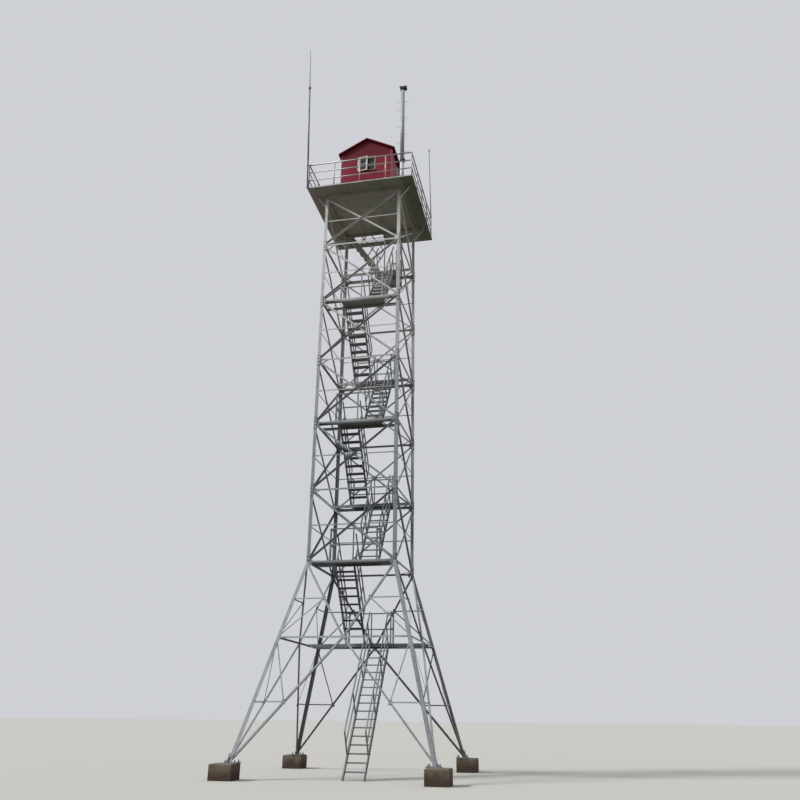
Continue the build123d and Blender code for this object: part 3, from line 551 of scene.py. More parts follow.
class Shape:
    """Collects the parts of one piece in a single mesh."""

    def __init__(self) -> None:
        """Starts an empty mesh."""
        self.mesh = bmesh.new()

    def take(self, part: bmesh.types.BMesh, place: Matrix) -> None:
        """Moves a part to its place and adds it.

        Args:
            part: The part, which is used up.
            place: Its placing matrix.
        """
        part.transform(place)
        passing = bpy.data.meshes.new("passing")
        part.to_mesh(passing)
        part.free()
        self.mesh.from_mesh(passing)
        bpy.data.meshes.remove(passing)

    def tube(self, start: Vector, end: Vector, radius: float, sides: int,
             far_radius: float | None = None) -> None:
        """Adds a round bar with smooth sides and closed ends.

        Args:
            start: Middle of the first end.
            end: Middle of the other end.
            radius: Radius at the start.
            sides: Number of sides.
            far_radius: Radius at the end, if it tapers.
        """
        part = bmesh.new()
        far = radius if far_radius is None else far_radius
        bmesh.ops.create_cone(part, cap_ends=True, segments=sides, radius1=radius, radius2=far,
                              depth=(end - start).length)
        for face in part.faces:
            face.smooth = len(face.verts) == 4
        self.take(part, stance((start + end) / 2, end - start))

    def rings(self, rings: Sequence[Sequence[Vector]], place: Matrix) -> None:
        """Adds a smooth skin over rings of points, closed at both ends.

        Args:
            rings: Points of each ring in order; a ring of one point is a tip.
            place: The placing matrix.
        """
        part = bmesh.new()
        rows = [[part.verts.new(point) for point in ring] for ring in rings]
        for first, second in zip(rows, rows[1:]):
            for k in range(max(len(first), len(second))):
                around = ((first, k), (first, k + 1), (second, k + 1), (second, k))
                corners = [row[j % len(row)] for row, j in around]
                part.faces.new(list(dict.fromkeys(corners))).smooth = True
        for row in (rows[0], rows[-1]):
            if len(row) > 1:
                part.faces.new(row)
        bmesh.ops.recalc_face_normals(part, faces=part.faces)
        self.take(part, place)

    def lathe(self, profile: Outline, place: Matrix, sides: int = 20) -> None:
        """Adds a turned shape.

        Args:
            profile: Radius and height of each ring, from the bottom up.
            place: Matrix of the turned shape's foot.
            sides: Number of sides.
        """
        tip = 1e-6
        self.rings([
            [heading(360.0 * k / sides) * radius + UP * height for k in range(sides if radius > tip else 1)]
            for radius, height in profile
        ], place)

    def path(self, points: Sequence[Vector], radius: float, sides: int) -> None:
        """Adds a round bar that follows points, with closed ends.

        Args:
            points: The middle line, which starts upwards.
            radius: Radius of the bar.
            sides: Number of sides.
        """
        rings = []
        side = (points[1] - points[0]).cross(X).normalized()
        for before, point, after in zip([points[0], *points], points, [*points[1:], points[-1]]):
            ahead = (after - before).normalized()
            side = (side - ahead * side.dot(ahead)).normalized()
            other = ahead.cross(side)
            turns = [tau * k / sides for k in range(sides)]
            rings.append([point + side * cos(turn) * radius + other * sin(turn) * radius for turn in turns])
        self.rings(rings, Matrix.Identity(4))

    def block(self, place: Matrix, size: tuple[float, float, float], bevel: float = 0.002) -> None:
        """Adds a rectangular bar or plate with eased edges.

        Args:
            place: Matrix of the block's middle.
            size: Sizes along the matrix's axes.
            bevel: Width of the eased edges.
        """
        part = bmesh.new()
        bmesh.ops.create_cube(part, size=1.0)
        bmesh.ops.scale(part, vec=size, verts=part.verts)
        bmesh.ops.bevel(part, geom=part.edges[:], offset=bevel, segments=1, affect="EDGES", profile=0.5)
        self.take(part, place)

    def bars(self, base: Matrix, thick: float, rows: Iterable[tuple[float, float, float, float]],
             bevel: float = 0.002) -> None:
        """Adds flat blocks that lie in one plane."""
        for x, y, wide, tall in rows:
            self.block(base @ Matrix.Translation((x, y, 0.0)), (wide, tall, thick), bevel)

    def prism(self, outline: Outline, place: Matrix, depth: float) -> None:
        """Adds a flat outline given a thickness along the matrix's z axis.

        Args:
            outline: Corners in the matrix's x and y.
            place: Matrix of the outline's origin.
            depth: Thickness.
        """
        part = bmesh.new()
        base = part.faces.new([part.verts.new((x, y, 0.0)) for x, y in outline])
        grown = bmesh.ops.extrude_face_region(part, geom=[base])
        moved = [v for v in grown["geom"] if isinstance(v, bmesh.types.BMVert)]
        bmesh.ops.translate(part, vec=(0.0, 0.0, depth), verts=moved)
        bmesh.ops.recalc_face_normals(part, faces=part.faces)
        self.take(part, place)

    def finish(self, name: str, material: Material, slot: Slot, replaces: Iterable[str] = ()) -> None:
        """Turns the collected parts into a piece.

        Args:
            name: Name of the piece.
            material: Its material.
            slot: Not used.
            replaces: CAD nodes that it stands for.
        """
        data = bpy.data.meshes.new(name)
        self.mesh.to_mesh(data)
        self.mesh.free()
        data.materials.append(material)
        settle(name, data, replaces)


@dataclass
class Fastener:
    """Hexagon head or nut on a round washer, set out by Geometry Nodes wherever a point asks for one."""

    across: float = 0.024
    head: float = 0.011
    washer: float = 0.038
    washer_thick: float = 0.004
    stub: float = 0.001
    stub_radius: float = 0.008
    seed: int = 7
    points: list[tuple[Vector, Vector]] = field(default_factory=list)

    @property
    def sizes(self) -> dict[str, float]:
        """Named inputs of the node tree.

        Returns:
            The value of each.
        """
        return {
            "Washer radius": self.washer / 2, "Washer height": self.washer_thick,
            "Head radius": self.across / sqrt(3.0), "Head height": self.head,
            "Stub radius": self.stub_radius, "Stub height": self.stub,
        }

    def at(self, point: Vector, facing: Vector) -> None:
        """Asks for one fastener at a point, standing up along a direction."""
        self.points.append((point, facing.normalized()))

    def tree(self, material: Material) -> Tree:
        """Builds the node tree that sets the fasteners out.

        Args:
            material: What the fasteners are made of.

        Returns:
            The geometry tree, with the sizes as named inputs.
        """
        tree = bpy.data.node_groups.new("fastener_setting", "GeometryNodeTree")
        tree.is_modifier = True
        tree.interface.new_socket("Geometry", in_out="INPUT", socket_type="NodeSocketGeometry")
        for name in self.sizes:
            tree.interface.new_socket(name, in_out="INPUT", socket_type="NodeSocketFloat")
        tree.interface.new_socket("Geometry", in_out="OUTPUT", socket_type="NodeSocketGeometry")

        def put(kind: str, links: dict, out: int | str = 0, **settings: object) -> Socket:
            """Adds a node and gives one of its outputs."""
            return add_node(tree, kind, links, **settings).outputs[out]

        given = add_node(tree, "NodeGroupInput").outputs
        joined = add_node(tree, "GeometryNodeJoinGeometry")
        base: Socket | float = 0.0
        for part, sides in (("Washer", 12), ("Head", 6), ("Stub", 8)):
            radius, height = given[part + " radius"], given[part + " height"]
            form = {"Vertices": sides, "Radius": radius, "Depth": height}
            bar = put("GeometryNodeMeshCylinder", form, "Mesh")
            half = put("ShaderNodeMath", {0: height, 1: 0.5}, operation="MULTIPLY")
            middle = put("ShaderNodeMath", {0: half, 1: base}, operation="ADD")
            lift = put("ShaderNodeCombineXYZ", {"Z": middle})
            moved = put("GeometryNodeTransform", {"Geometry": bar, "Translation": lift})
            tree.links.new(moved, joined.inputs[0])
            base = put("ShaderNodeMath", {0: base, 1: height}, operation="ADD")
        named = {"Name": "facing"}
        facing = put("GeometryNodeInputNamedAttribute", named, "Attribute", data_type="FLOAT_VECTOR")
        aimed = put("FunctionNodeAlignRotationToVector", {"Vector": facing}, axis="Z")
        spin = put("FunctionNodeRandomValue", {"Max": tau, "Seed": self.seed}, 1, data_type="FLOAT")
        turn = put("FunctionNodeAxisAngleToRotation", {"Axis": UP, "Angle": spin})
        turns = {"Rotation": aimed, "Rotate By": turn}
        both = put("FunctionNodeRotateRotation", turns, rotation_space="LOCAL")
        where = {"Points": given["Geometry"], "Instance": joined.outputs[0], "Rotation": both}
        set_out = put("GeometryNodeInstanceOnPoints", where)
        real = put("GeometryNodeRealizeInstances", {0: set_out})
        dressed = put("GeometryNodeSetMaterial", {"Geometry": real, "Material": material})
        add_node(tree, "NodeGroupOutput", {0: dressed})
        return tree

    def finish(self, name: str, material: Material, slot: Slot = Slot.STEEL) -> None:
        """Sets all the fasteners out and turns them into one plain piece.

        Args:
            name: Name of the piece.
            material: Its material.
            slot: Not used.
        """
        seeds = bpy.data.meshes.new(name + "_points")
        seeds.from_pydata([point for point, _ in self.points], [], [])
        facing = seeds.attributes.new("facing", "FLOAT_VECTOR", "POINT")
        facing.data.foreach_set("vector", [c for _, normal in self.points for c in normal])
        carrier = bpy.data.objects.new(name + "_carrier", seeds)
        bpy.context.scene.collection.objects.link(carrier)
        modifier = carrier.modifiers.new("setting", "NODES")
        modifier.node_group = self.tree(material)
        for item in modifier.node_group.interface.items_tree:
            if item.item_type == "SOCKET" and item.name in self.sizes:
                modifier[item.identifier] = self.sizes[item.name]
        seen = carrier.evaluated_get(bpy.context.evaluated_depsgraph_get())
        data = bpy.data.meshes.new_from_object(seen)
        data.name = name
        bpy.data.objects.remove(carrier)
        settle(name, data)


# The tower


@dataclass(frozen=True)
class Plan:
    """Sizes that the CAD source sets and several sub-assemblies share."""

    pier_height: float = 0.45
    first_level: float = 4.1
    bay: float = 2.5
    top_bay: float = 2.25
    bays: int = 5
    foot_half: float = 3.13
    body_half: float = 1.545
    leg_width: float = 0.118
    leg_thick: float = 0.012
    seat: float = 0.0003
    deck_top: float = 21.5283
    guard_half: float = 2.12
    guard_back: float = 2.405
    guard_height: float = 1.13
    hut_half: float = 1.1
    floor_top: float = 21.5483
    platform_half: float = 2.165
    knee_share: float = 0.47

    @property
    def levels(self) -> list[float]:
        """Heights of the level angles, lowest first."""
        return [self.first_level + self.bay * i for i in range(self.bays + 2)]

    @property
    def waist(self) -> float:
        """Height where the splayed legs meet the upright ones."""
        return self.levels[1]

    @property
    def flare(self) -> float:
        """How far the legs come in for each metre of height below the waist."""
        return (self.foot_half - self.body_half) / (self.waist - self.pier_height)

    @property
    def lean(self) -> float:
        """Angle of the sloping sides, in radians."""
        return atan(self.flare)


PLAN = Plan()


@dataclass(frozen=True)
class SideFace:
    """One side of something: x runs level along it, y up it, lift stands out from it."""

    side: Side
    half: float
    height: float = 0.0
    lean: float = 0.0

    @property
    def outward(self) -> Vector:
        """Level direction out of the side."""
        return heading(self.side.value)

    @property
    def level(self) -> Vector:
        """Level direction along the side."""
        return heading(self.side.value + 90.0)

    @property
    def normal(self) -> Vector:
        """Direction square out of the side."""
        return self.outward * cos(self.lean) + UP * sin(self.lean)

    def at(self, x: float, y: float, lift: float = 0.0) -> Vector:
        """Point of the side."""
        rise = self.normal.cross(self.level)
        return self.outward * self.half + UP * self.height + self.level * x + rise * y + self.normal * lift

    def place(self, x: float, y: float, lift: float = 0.0, hand: int = 1) -> Matrix:
        """Matrix at a point of the side, z square out of it and x along it, or back where hand is -1."""
        return stance(self.at(x, y, lift), self.normal, self.level * hand)


class Finishes:
    """All the finishes of the tower, made once."""

    def __init__(self) -> None:
        """Makes every material."""
        self.steel = HotDipGalvanisedSteel("hot_dip_galvanised_steel", metallic=0.45).make()
        # Darker copy of the zinc with heavier stains for the stairs and landings: the stains are dirt, the
        # darkness is painted shade.
        self.stair_steel = HotDipGalvanisedSteel(
            "stair_steel_painted_shade_and_stain", roughness=0.6, metallic=0.35, light="#AFB1AE", dull="#858A8C",
            stain="#625A50", stain_share=0.5,
        ).make()
        self.bolt = HotDipGalvanisedSteel(
            "zinc_plated_fasteners", roughness=0.4, metallic=0.7, light="#B9BBBA", dull="#8B8E90",
            stain="#5F4C3C", spangle=0.01,
        ).make()
        self.concrete = CastConcrete("cast_concrete", roughness=0.9).make()
        self.panel = PaintedSheet("red_coil_coated_sheet").make()
        self.roof = PaintedSheet(
            "dark_red_roof_sheet", roughness=0.55, paint="#641A28", faded="#742736", dust="#452024",
            rib_depth=0.001, painted_eave_shade="#641A28",
        ).make()
        self.plate = WeatheredPlate("weathered_chequer_plate", roughness=0.75, metallic=0.1).make()
        self.soffit = SoffitSheet(
            "olive_soffit_sheet", roughness=0.8, olive="#A0A194", brown="#AEA59D", grey="#868E89",
        ).make()
        self.board = FloorBoard("softwood_floor_board", roughness=0.8).make()
        self.glass = FloatGlass("float_glass", roughness=0.06).make()
        self.lens = FloatGlass("lens_glass", roughness=0.04, tint="#0E1114", dust="#2A2D2F").make()
        self.flashing = self.enamel("folded_red_flashing", 0.5, "#92223A", "#A0344A", "#6A2C36")
        # The door's near-black paint copies the dark strip of the side wall in shade: painted shade.
        self.door = self.enamel("door_enamel_painted_shade", 0.45, "#2B2D34", "#3B3D44", "#57504A")
        self.frame = self.enamel("moulded_pvc_profile", 0.35, "#D2CFC9", "#DDDAD5", "#A8A39B")
        # Greyer copy of the PVC profile for the fixed frames: painted shade beside the bright opening sashes.
        self.shaded_frame = self.enamel("pvc_profile_painted_shade", 0.5, "#A29D9A", "#B0ABA7", "#857F79")
        self.mast = self.enamel("grey_mast_enamel", 0.45, "#A3A7AF", "#B4B8BF", "#7F7E7C")
        # Paler copy of the mast paint for the lower tube: painted light against the shade of the deck and the
        # hut.
        self.mast_foot = self.enamel("mast_paint_painted_light", 0.5, "#CDD0D8", "#D8DAE0", "#A3A1A0")
        self.coat = self.enamel("black_powder_coat", 0.65, "#14161A", "#1F2227", "#2B2A29")
        self.aerial = self.enamel("grey_glass_fibre", 0.55, "#73767C", "#888B90", "#5C5A56")
        self.housing = self.enamel("dark_cast_housing", 0.5, "#26282C", "#35383D", "#4B4843")

    @staticmethod
    def enamel(name: str, roughness: float, paint: str, faded: str, dust: str) -> Material:
        """Makes one paint from its three colours."""
        return Enamel(name, roughness=roughness, paint=paint, faded=faded, dust=dust).make()

    def for_slot(self, slot: Slot) -> Material:
        """Material of a CAD node by its slot.

        Args:
            slot: The node's slot in the record.

        Returns:
            The material.
        """
        return {
            Slot.STEEL: self.steel, Slot.CONCRETE: self.concrete, Slot.DECK: self.plate,
            Slot.SOFFIT: self.soffit, Slot.FLOOR: self.board, Slot.PANEL: self.panel, Slot.ROOF: self.roof,
            Slot.DOOR: self.door, Slot.FRAME: self.shaded_frame, Slot.GLASS: self.glass, Slot.MAST: self.mast,
            Slot.HOUSING: self.housing,
        }[slot]


@dataclass
class SubAssembly:
    """What every sub-assembly has: the finishes that dress it."""

    finishes: Finishes


@dataclass
class CarriedFrame(SubAssembly):
    """The CAD nodes that stay in view, dressed by their slots."""

    def build(self) -> None:
        """Gives every CAD node its material; all the stairs but flight 1 take a darker, more stained copy of
        the zinc, whose darkness is painted shade.
        """
        slots = {entry["node"]: entry["material_slot"] for entry in frame["record"]["subparts"]}
        for name, node in frame["nodes"].items():
            shaded_stairs = name.startswith(("landing", "flight")) and name != "flight_1"
            node.data.materials.clear()
            node.data.materials.append(
                self.finishes.stair_steel if shaded_stairs else self.finishes.for_slot(Slot(slots[name])))
        LOG.info("dressed %d nodes", len(slots))


@dataclass
class Footings(SubAssembly):
    """Anchor bolts of the four base plates."""

    plate: float = 0.42
    plate_thick: float = 0.025
    inset: float = 0.06

    def build(self) -> None:
        """Sets four anchor bolts on every base plate."""
        anchors = Fastener(across=0.046, head=0.022, washer=0.07, washer_thick=0.006, stub=0.045,
                           stub_radius=0.015, seed=3)
        middle = PLAN.foot_half - self.plate / 4
        reach = self.plate / 2 - self.inset
        top = PLAN.pier_height + self.plate_thick
        for sx, sy in CORNERS:
            for dx, dy in CORNERS:
                anchors.at(Vector((sx * middle + dx * reach, sy * middle + dy * reach, top)), UP)
        anchors.finish("anchor_bolts", self.finishes.bolt)


@dataclass
class LegSplices(SubAssembly):
    """Plates bolted over the joints of the leg angles, on both outer faces."""

    width: float = 0.095
    height: float = 0.5
    thick: float = 0.01
    eased: float = 0.004
    rows: int = 4
    column: float = 0.026

    def build(self) -> None:
        """Adds the plates and their bolts."""
        plates, bolts = Shape(), Fastener()
        for side in Side:
            upright = SideFace(side, PLAN.body_half)
            for hand in (-1, 1):
                for level in PLAN.levels[1:]:
                    # Below the waist the legs slope, so there only the upper half of a plate stands.
                    halves = 1 if level == PLAN.waist else 2
                    tall, count = self.height / 2 * halves, self.rows // 2 * halves
                    low = level - self.height / 2 * (halves - 1)
                    middle = hand * (PLAN.body_half - PLAN.leg_width / 2)
                    place = upright.place(middle, low + tall / 2, self.thick / 2 + HAIR)
                    plates.block(place, (self.width, tall, self.thick), self.eased)
                    for k in range(count):
                        for shift in (-self.column, self.column):
                            y = low + tall * (k + 0.5) / count
                            bolts.at(upright.at(middle + shift, y, self.thick), upright.normal)
        plates.finish("leg_splice_plates", self.finishes.steel, Slot.STEEL)
        bolts.finish("leg_splice_bolts", self.finishes.bolt)


@dataclass
class LatticeJoints(SubAssembly):
    """Gusset plates at the ends of the braces and the bolts through them."""

    gusset: Outline = ((0.096, 0.045), (0.04, 0.1125), (0.0, 0.15))
    gusset_thick: float = 0.0048
    gusset_lift: float = 0.0004
    gusset_clear: float = 0.002
    pitch: float = 0.075
    brace_first: float = 0.26
    level_first: float = 0.17
    rail_first: float = 0.175
    foot_first: float = 0.42
    crown_first: float = 0.12
    corner_first: float = 0.3
    base_first: float = 0.2
    crossing: tuple[float, float] = (0.03, 0.05)
    knee: tuple[float, float] = (0.032, 0.05)

    def build(self) -> None:
        """Adds every joint of the eight side frames."""
        plates, bolts = Shape(), Fastener(across=0.022, head=0.01, washer=0.034)
        inset = PLAN.leg_thick * cos(PLAN.lean) + PLAN.seat
        for side in Side:
            inner = PLAN.body_half - PLAN.leg_thick - PLAN.seat
            self.upright_joints(SideFace(side, inner, PLAN.waist), plates, bolts)
            slope = SideFace(side, PLAN.foot_half, PLAN.pier_height, PLAN.lean)
            foot = slope.at(0.0, 0.0, -inset)
            self.sloping_joints(SideFace(side, foot.dot(slope.outward), foot.z, PLAN.lean), bolts)
        plates.finish("brace_gussets", self.finishes.steel, Slot.STEEL)
        bolts.finish("brace_bolts", self.finishes.bolt)

    def row(self, bolts: Fastener, face: SideFace, start: tuple[float, float], end: tuple[float, float],
            first: float, count: int = 2) -> None:
        """Bolts in a row along a bar.

        Args:
            bolts: Collects the bolts.
            face: The side that the bar lies in.
            start: Start of the bar's line.
            end: End of the bar's line.
            first: Distance of the first bolt from the start.
            count: Number of bolts.
        """
        line = Vector(end) - Vector(start)
        for k in range(count):
            x, y = Vector(start) + line * ((first + k * self.pitch) / line.length)
            bolts.at(face.at(x, y), face.normal)

    def upright_joints(self, face: SideFace, plates: Shape, bolts: Fastener) -> None:
        """Adds the joints of one side of the upright body.

        Args:
            face: Outer face of the bars.
            plates: Takes the gussets.
            bolts: Takes the bolts.
        """
        half = PLAN.body_half
        clear = half - PLAN.leg_width - self.gusset_clear
        outline = [(x, -y) for x, y in reversed(self.gusset)] + list(self.gusset)
        for i in range(PLAN.bays + 1):
            low = i * PLAN.bay
            high = low + (PLAN.bay if i < PLAN.bays else PLAN.top_bay)
            middle = (low + high) / 2
            for hand in (-1, 1):
                bottom, top = (hand * half, low), (-hand * half, high)
                self.row(bolts, face, bottom, top, self.brace_first)
                self.row(bolts, face, top, bottom, self.brace_first)
                self.row(bolts, face, bottom, (0.0, low), self.level_first)
                self.row(bolts, face, (hand * half, middle), (0.0, middle), self.rail_first, 1)
                for dy in (-self.crossing[1], self.crossing[1]):
                    bolts.at(face.at(hand * self.crossing[0], middle + dy), face.normal)
                place = face.place(hand * clear, low, self.gusset_lift, -hand)
                plates.prism(outline, place, self.gusset_thick)

    def sloping_joints(self, face: SideFace, bolts: Fastener) -> None:
        """Adds the joints of one sloping side.

        Args:
            face: Outer face of the bars.
            bolts: Takes the bolts.
        """
        heights = (PLAN.first_level, PLAN.waist)
        base_top, waist_top = ((z - PLAN.pier_height) / cos(PLAN.lean) for z in heights)
        lower = PLAN.body_half + (PLAN.waist - PLAN.first_level) * PLAN.flare
        crown = (0.0, base_top)
        for hand in (-1, 1):
            foot, corner = (hand * PLAN.foot_half, 0.0), (hand * PLAN.body_half, waist_top)
            for start, end, first in (
                (foot, crown, self.foot_first), (crown, foot, self.crown_first),
                (corner, crown, self.corner_first), (crown, corner, self.crown_first),
                ((hand * lower, base_top), crown, self.base_first),
            ):
                self.row(bolts, face, start, end, first)
            knee = (foot[0] * (1.0 - PLAN.knee_share), base_top * PLAN.knee_share)
            upper_knee = (corner[0] / 2, (base_top + waist_top) / 2)
            for x, y in (knee, upper_knee):
                for dx in (-self.knee[0], self.knee[0]):
                    for dy in (-self.knee[1], self.knee[1]):
                        bolts.at(face.at(x + dx, y + dy), face.normal)


@dataclass
class StairFittings(SubAssembly):
    """Bolts that hold the treads in the stringers."""

    going: float = 0.18
    width: float = 0.7
    left_x: float = -0.4
    right_x: float = 0.47
    inner: float = 0.82
    foot_reach: float = 0.16
    rise_target: float = 0.245
    surface: float = 0.0398
    behind_nose: tuple[float, float] = (0.05, 0.13)
    below_nose: float = 0.02

    def build(self) -> None:
        """Adds the bolts of all the inner flights."""
        bolts = Fastener(across=0.019, head=0.008, washer=0.03, washer_thick=0.003)
        surfaces = [0.0] + [level + self.surface for level in PLAN.levels]
        for i, (low, high) in enumerate(zip(surfaces, surfaces[1:])):
            away, centre = (-1, self.left_x) if i % 2 else (1, self.right_x)
            steps = round((high - low) / self.rise_target)
            run = 2 * self.inner + self.foot_reach if i else steps * self.going
            for k in range(1, steps):
                left = (steps - k) / steps
                nose = Vector((centre, away * (self.inner - left * run), high - left * (high - low)))
                for side in (-1, 1):
                    for reach in self.behind_nose:
                        shift = Vector((side * self.width / 2, away * reach, -self.below_nose))
                        bolts.at(nose + shift, X * side)
        bolts.finish("tread_bolts", self.finishes.bolt)


@dataclass
class GuardRail(SubAssembly):
    """Round pipe guard rail of the walkway with base flanges and bolts."""

    pipe: float = 0.05
    rail: float = 0.043
    top_rail: float = 0.054
    bays: int = 4
    shares: tuple[float, float, float] = (0.34, 0.67, 1.0)
    flange: float = 0.088
    flange_thick: float = 0.01
    bolt_shift: float = 0.034
    sides: int = 12

    def build(self) -> None:
        """Builds the rail in place of its CAD node."""
        shape = Shape()
        bolts = Fastener(across=0.017, head=0.008, washer=0.026, washer_thick=0.002)
        half, back, base = PLAN.guard_half, PLAN.guard_back, PLAN.deck_top + PLAN.seat
        elbow = self.top_rail / 2
        crown = UP * (PLAN.guard_height - elbow)
        plan = ((-half, -half), (half, -half), (half, back), (-half, back))
        corners = [Vector((x, y, base)) for x, y in plan]
        for start, end in zip(corners, corners[1:] + corners[:1]):
            along = (end - start).normalized()
            for k in range(self.bays):
                post = start.lerp(end, k / self.bays)
                shape.tube(post, post + crown, self.pipe / 2, self.sides)
                foot = stance(post + UP * self.flange_thick / 2, UP)
                shape.block(foot, (self.flange, self.flange, self.flange_thick))
                if k:
                    for shift in (-self.bolt_shift, self.bolt_shift):
                        bolts.at(post + along * shift + UP * self.flange_thick, UP)
            for share in self.shares:
                lift = UP * (PLAN.guard_height * share - elbow)
                radius = elbow if share == self.shares[-1] else self.rail / 2
                shape.tube(start + lift, end + lift, radius, self.sides)
            ball = [(elbow * r, elbow * z) for r, z in ((0, -1), (0.7, -0.7), (1, 0), (0.7, 0.7), (0, 1))]
            shape.lathe(ball, Matrix.Translation(start + crown), self.sides)
        shape.finish("pipe_guard_rail", self.finishes.steel, Slot.STEEL, ["guard_rail"])
        bolts.finish("guard_rail_bolts", self.finishes.bolt)


@dataclass
class Hut(SubAssembly):
    """Trim of the hut: ribs of the roof, flashings, window sashes and sills, and the door's fittings."""

    eave: float = 2.265
    slope: float = 28.4
    roof_thick: float = 0.045
    eave_overhang: float = 0.085
    gable_overhang: float = 0.1
    ribs: int = 12
    rib_start: float = 0.13
    rib_inset: float = 0.02
    rib_foot: float = 0.016
    rib_crown: float = 0.009
    rib_height: float = 0.018
    strip: float = 0.07
    skirt: float = 0.08
    strip_thick: float = 0.003
    strip_low: float = -0.016
    strip_drop: float = 0.03
    strip_eased: float = 0.001
    skirt_lift: float = 0.0004
    window_width: float = 0.745
    window_height: float = 0.695
    sill: float = 1.293
    cover: float = 0.006
    edge_bar: float = 0.026
    edge_thick: float = 0.012
    drip: tuple[float, float, float] = (0.06, 0.01, 0.04)
    drip_drop: float = 0.012
    sash_edge: float = 0.03
    stile: float = 0.068
    bar: float = 0.046
    cross_bar: float = 0.028
    cross_drop: float = 0.03
    sash_thick: float = 0.024
    sash_lift: float = 0.0125
    sash_eased: float = 0.003
    pane_lap: float = 0.01
    pane_thick: float = 0.004
    pane_eased: float = 0.0005
    front_ajar: float = 8.0
    ajar_gain: float = 0.03
    door_width: float = 0.8
    door_height: float = 1.98
    door_centre: float = 0.25
    casing: tuple[float, float] = (0.07, 0.05)
    casing_gap: float = 0.01
    casing_thick: float = 0.008
    hinge_heights: tuple[float, float, float] = (0.25, 1.0, 1.75)
    hinge_inset: float = 0.045
    hinge_lift: float = 0.012
    hinge_half: float = 0.06
    hinge_radius: float = 0.011
    panels: Outline = ((0.15, 0.95), (1.15, 1.8))
    panel_half: float = 0.25
    moulding: float = 0.012

    def build(self) -> None:
        """Adds every trim piece."""
        self.roof_ribs()
        self.flashings()
        self.windows()
        self.door()

    @staticmethod
    def wall(side: Side) -> SideFace:
        """Outer face of a wall, with heights above the floor."""
        return SideFace(side, PLAN.hut_half, PLAN.floor_top)

    def roof_ribs(self) -> None:
        """Upstanding ribs of the roof sheets, running down both slopes."""
        shape = Shape()
        slope = radians(self.slope)
        ridge = PLAN.floor_top + self.eave + PLAN.hut_half * tan(slope)
        ridge += (self.roof_thick + PLAN.seat) / cos(slope)
        length = (PLAN.hut_half + self.eave_overhang - self.rib_start) / cos(slope)
        reach = PLAN.hut_half + self.gable_overhang - self.rib_inset
        for hand in (-1, 1):
            down = Vector((hand * cos(slope), 0.0, -sin(slope)))
            # The profile's y axis points out of one slope and into the other.
            foot, crown, height = self.rib_foot, self.rib_crown, hand * self.rib_height
            profile = [(-foot, 0.0), (foot, 0.0), (crown, height), (-crown, height)]
            for k in range(self.ribs + 1):
                top = Vector((0.0, reach * (2 * k / self.ribs - 1), ridge))
                shape.prism(profile, stance(top + down * (self.rib_start / cos(slope)), down, Y), length)
        shape.finish("roof_ribs", self.finishes.roof, Slot.ROOF)

    def flashings(self) -> None:
        """Folded corner strips of the walls and the strip along their foot."""
        shape = Shape()
        wide, thick = self.strip, self.strip_thick
        low, tall = self.strip_low, self.eave - self.strip_drop - self.strip_low
        corner = PLAN.hut_half + thick - wide / 2
        for side in Side:
            face = self.wall(side)
            strips = [(hand * corner, low + tall / 2, wide, tall) for hand in (-1, 1)]
            shape.bars(face.place(0.0, 0.0, thick / 2 + HAIR), thick, strips, self.strip_eased)
            if side is not Side.RIGHT:
                skirt = (2 * (PLAN.hut_half - wide), self.skirt, thick)
                place = face.place(0.0, low + self.skirt / 2, thick / 2 + self.skirt_lift)
                shape.block(place, skirt, self.strip_eased)
        shape.finish("hut_flashings", self.finishes.flashing, Slot.PANEL)

    def windows(self) -> None:
        """Opening sash, fixed frame's edge and sill of the three windows; the front one stands ajar."""
        sashes, panes, edges, drips = Shape(), Shape(), Shape(), Shape()
        low, high = self.sill - self.cover, self.sill + self.window_height + self.cover
        edge, thin = self.window_width / 2 + self.cover, self.edge_bar
        level, wide = (self.sash_edge + edge) / 2, edge - self.sash_edge
        for side, ajar in ((Side.FRONT, self.front_ajar), (Side.LEFT, 0.0), (Side.BACK, 0.0)):
            face = self.wall(side)
            self.sash(sashes, panes, face, low, high, ajar)
            edges.bars(face.place(0.0, 0.0, self.edge_thick / 2), self.edge_thick, (
                (level, low + thin / 2, wide, thin), (level, high - thin / 2, wide, thin),
                (edge - thin / 2, (low + high) / 2, thin, high - low - 2 * thin),
            ))
            size = (self.window_width + self.drip[0], self.drip[1], self.drip[2])
            drips.block(face.place(0.0, low - self.drip_drop, size[2] / 2), size)
        sashes.finish("window_sashes", self.finishes.frame, Slot.FRAME)
        panes.finish("window_sash_panes", self.finishes.glass, Slot.GLASS)
        # The fixed frame's edges take the greyer profile, which is painted shade.
        edges.finish("window_frame_edges", self.finishes.shaded_frame, Slot.FRAME)
        drips.finish("window_sills", self.finishes.flashing, Slot.PANEL)

    def sash(self, sashes: Shape, panes: Shape, face: SideFace, low: float, high: float,
             ajar: float) -> None:
        """Adds the opening sash of one window, hinged at its left edge.

        Args:
            sashes: Takes the bars.
            panes: Takes the glass of a sash that stands ajar.
            face: The wall's outer face.
            low: Height of the sash's lower edge.
            high: Height of its upper edge.
            ajar: How far it is swung open, in degrees.
        """
        left = -self.window_width / 2 - self.cover
        wide = self.sash_edge - left + (self.ajar_gain if ajar else 0.0)
        tall, stile, bar, clear = high - low, self.stile, self.bar, wide - 2 * self.stile
        swing = Matrix.Rotation(-radians(ajar), 4, "Y")
        leaf = face.place(left, low) @ swing @ Matrix.Translation((0.0, 0.0, self.sash_lift))
        sashes.bars(leaf, self.sash_thick, (
            (stile / 2, tall / 2, stile, tall), (wide - stile / 2, tall / 2, stile, tall),
            (wide / 2, tall - bar / 2, clear, bar), (wide / 2, bar / 2, clear, bar),
            (wide / 2, tall / 2 - self.cross_drop, clear, self.cross_bar),
        ), self.sash_eased)
        if ajar:
            pane = (wide / 2, tall / 2, clear + self.pane_lap, tall - 2 * bar + self.pane_lap)
            panes.bars(leaf, self.pane_thick, [pane], self.pane_eased)

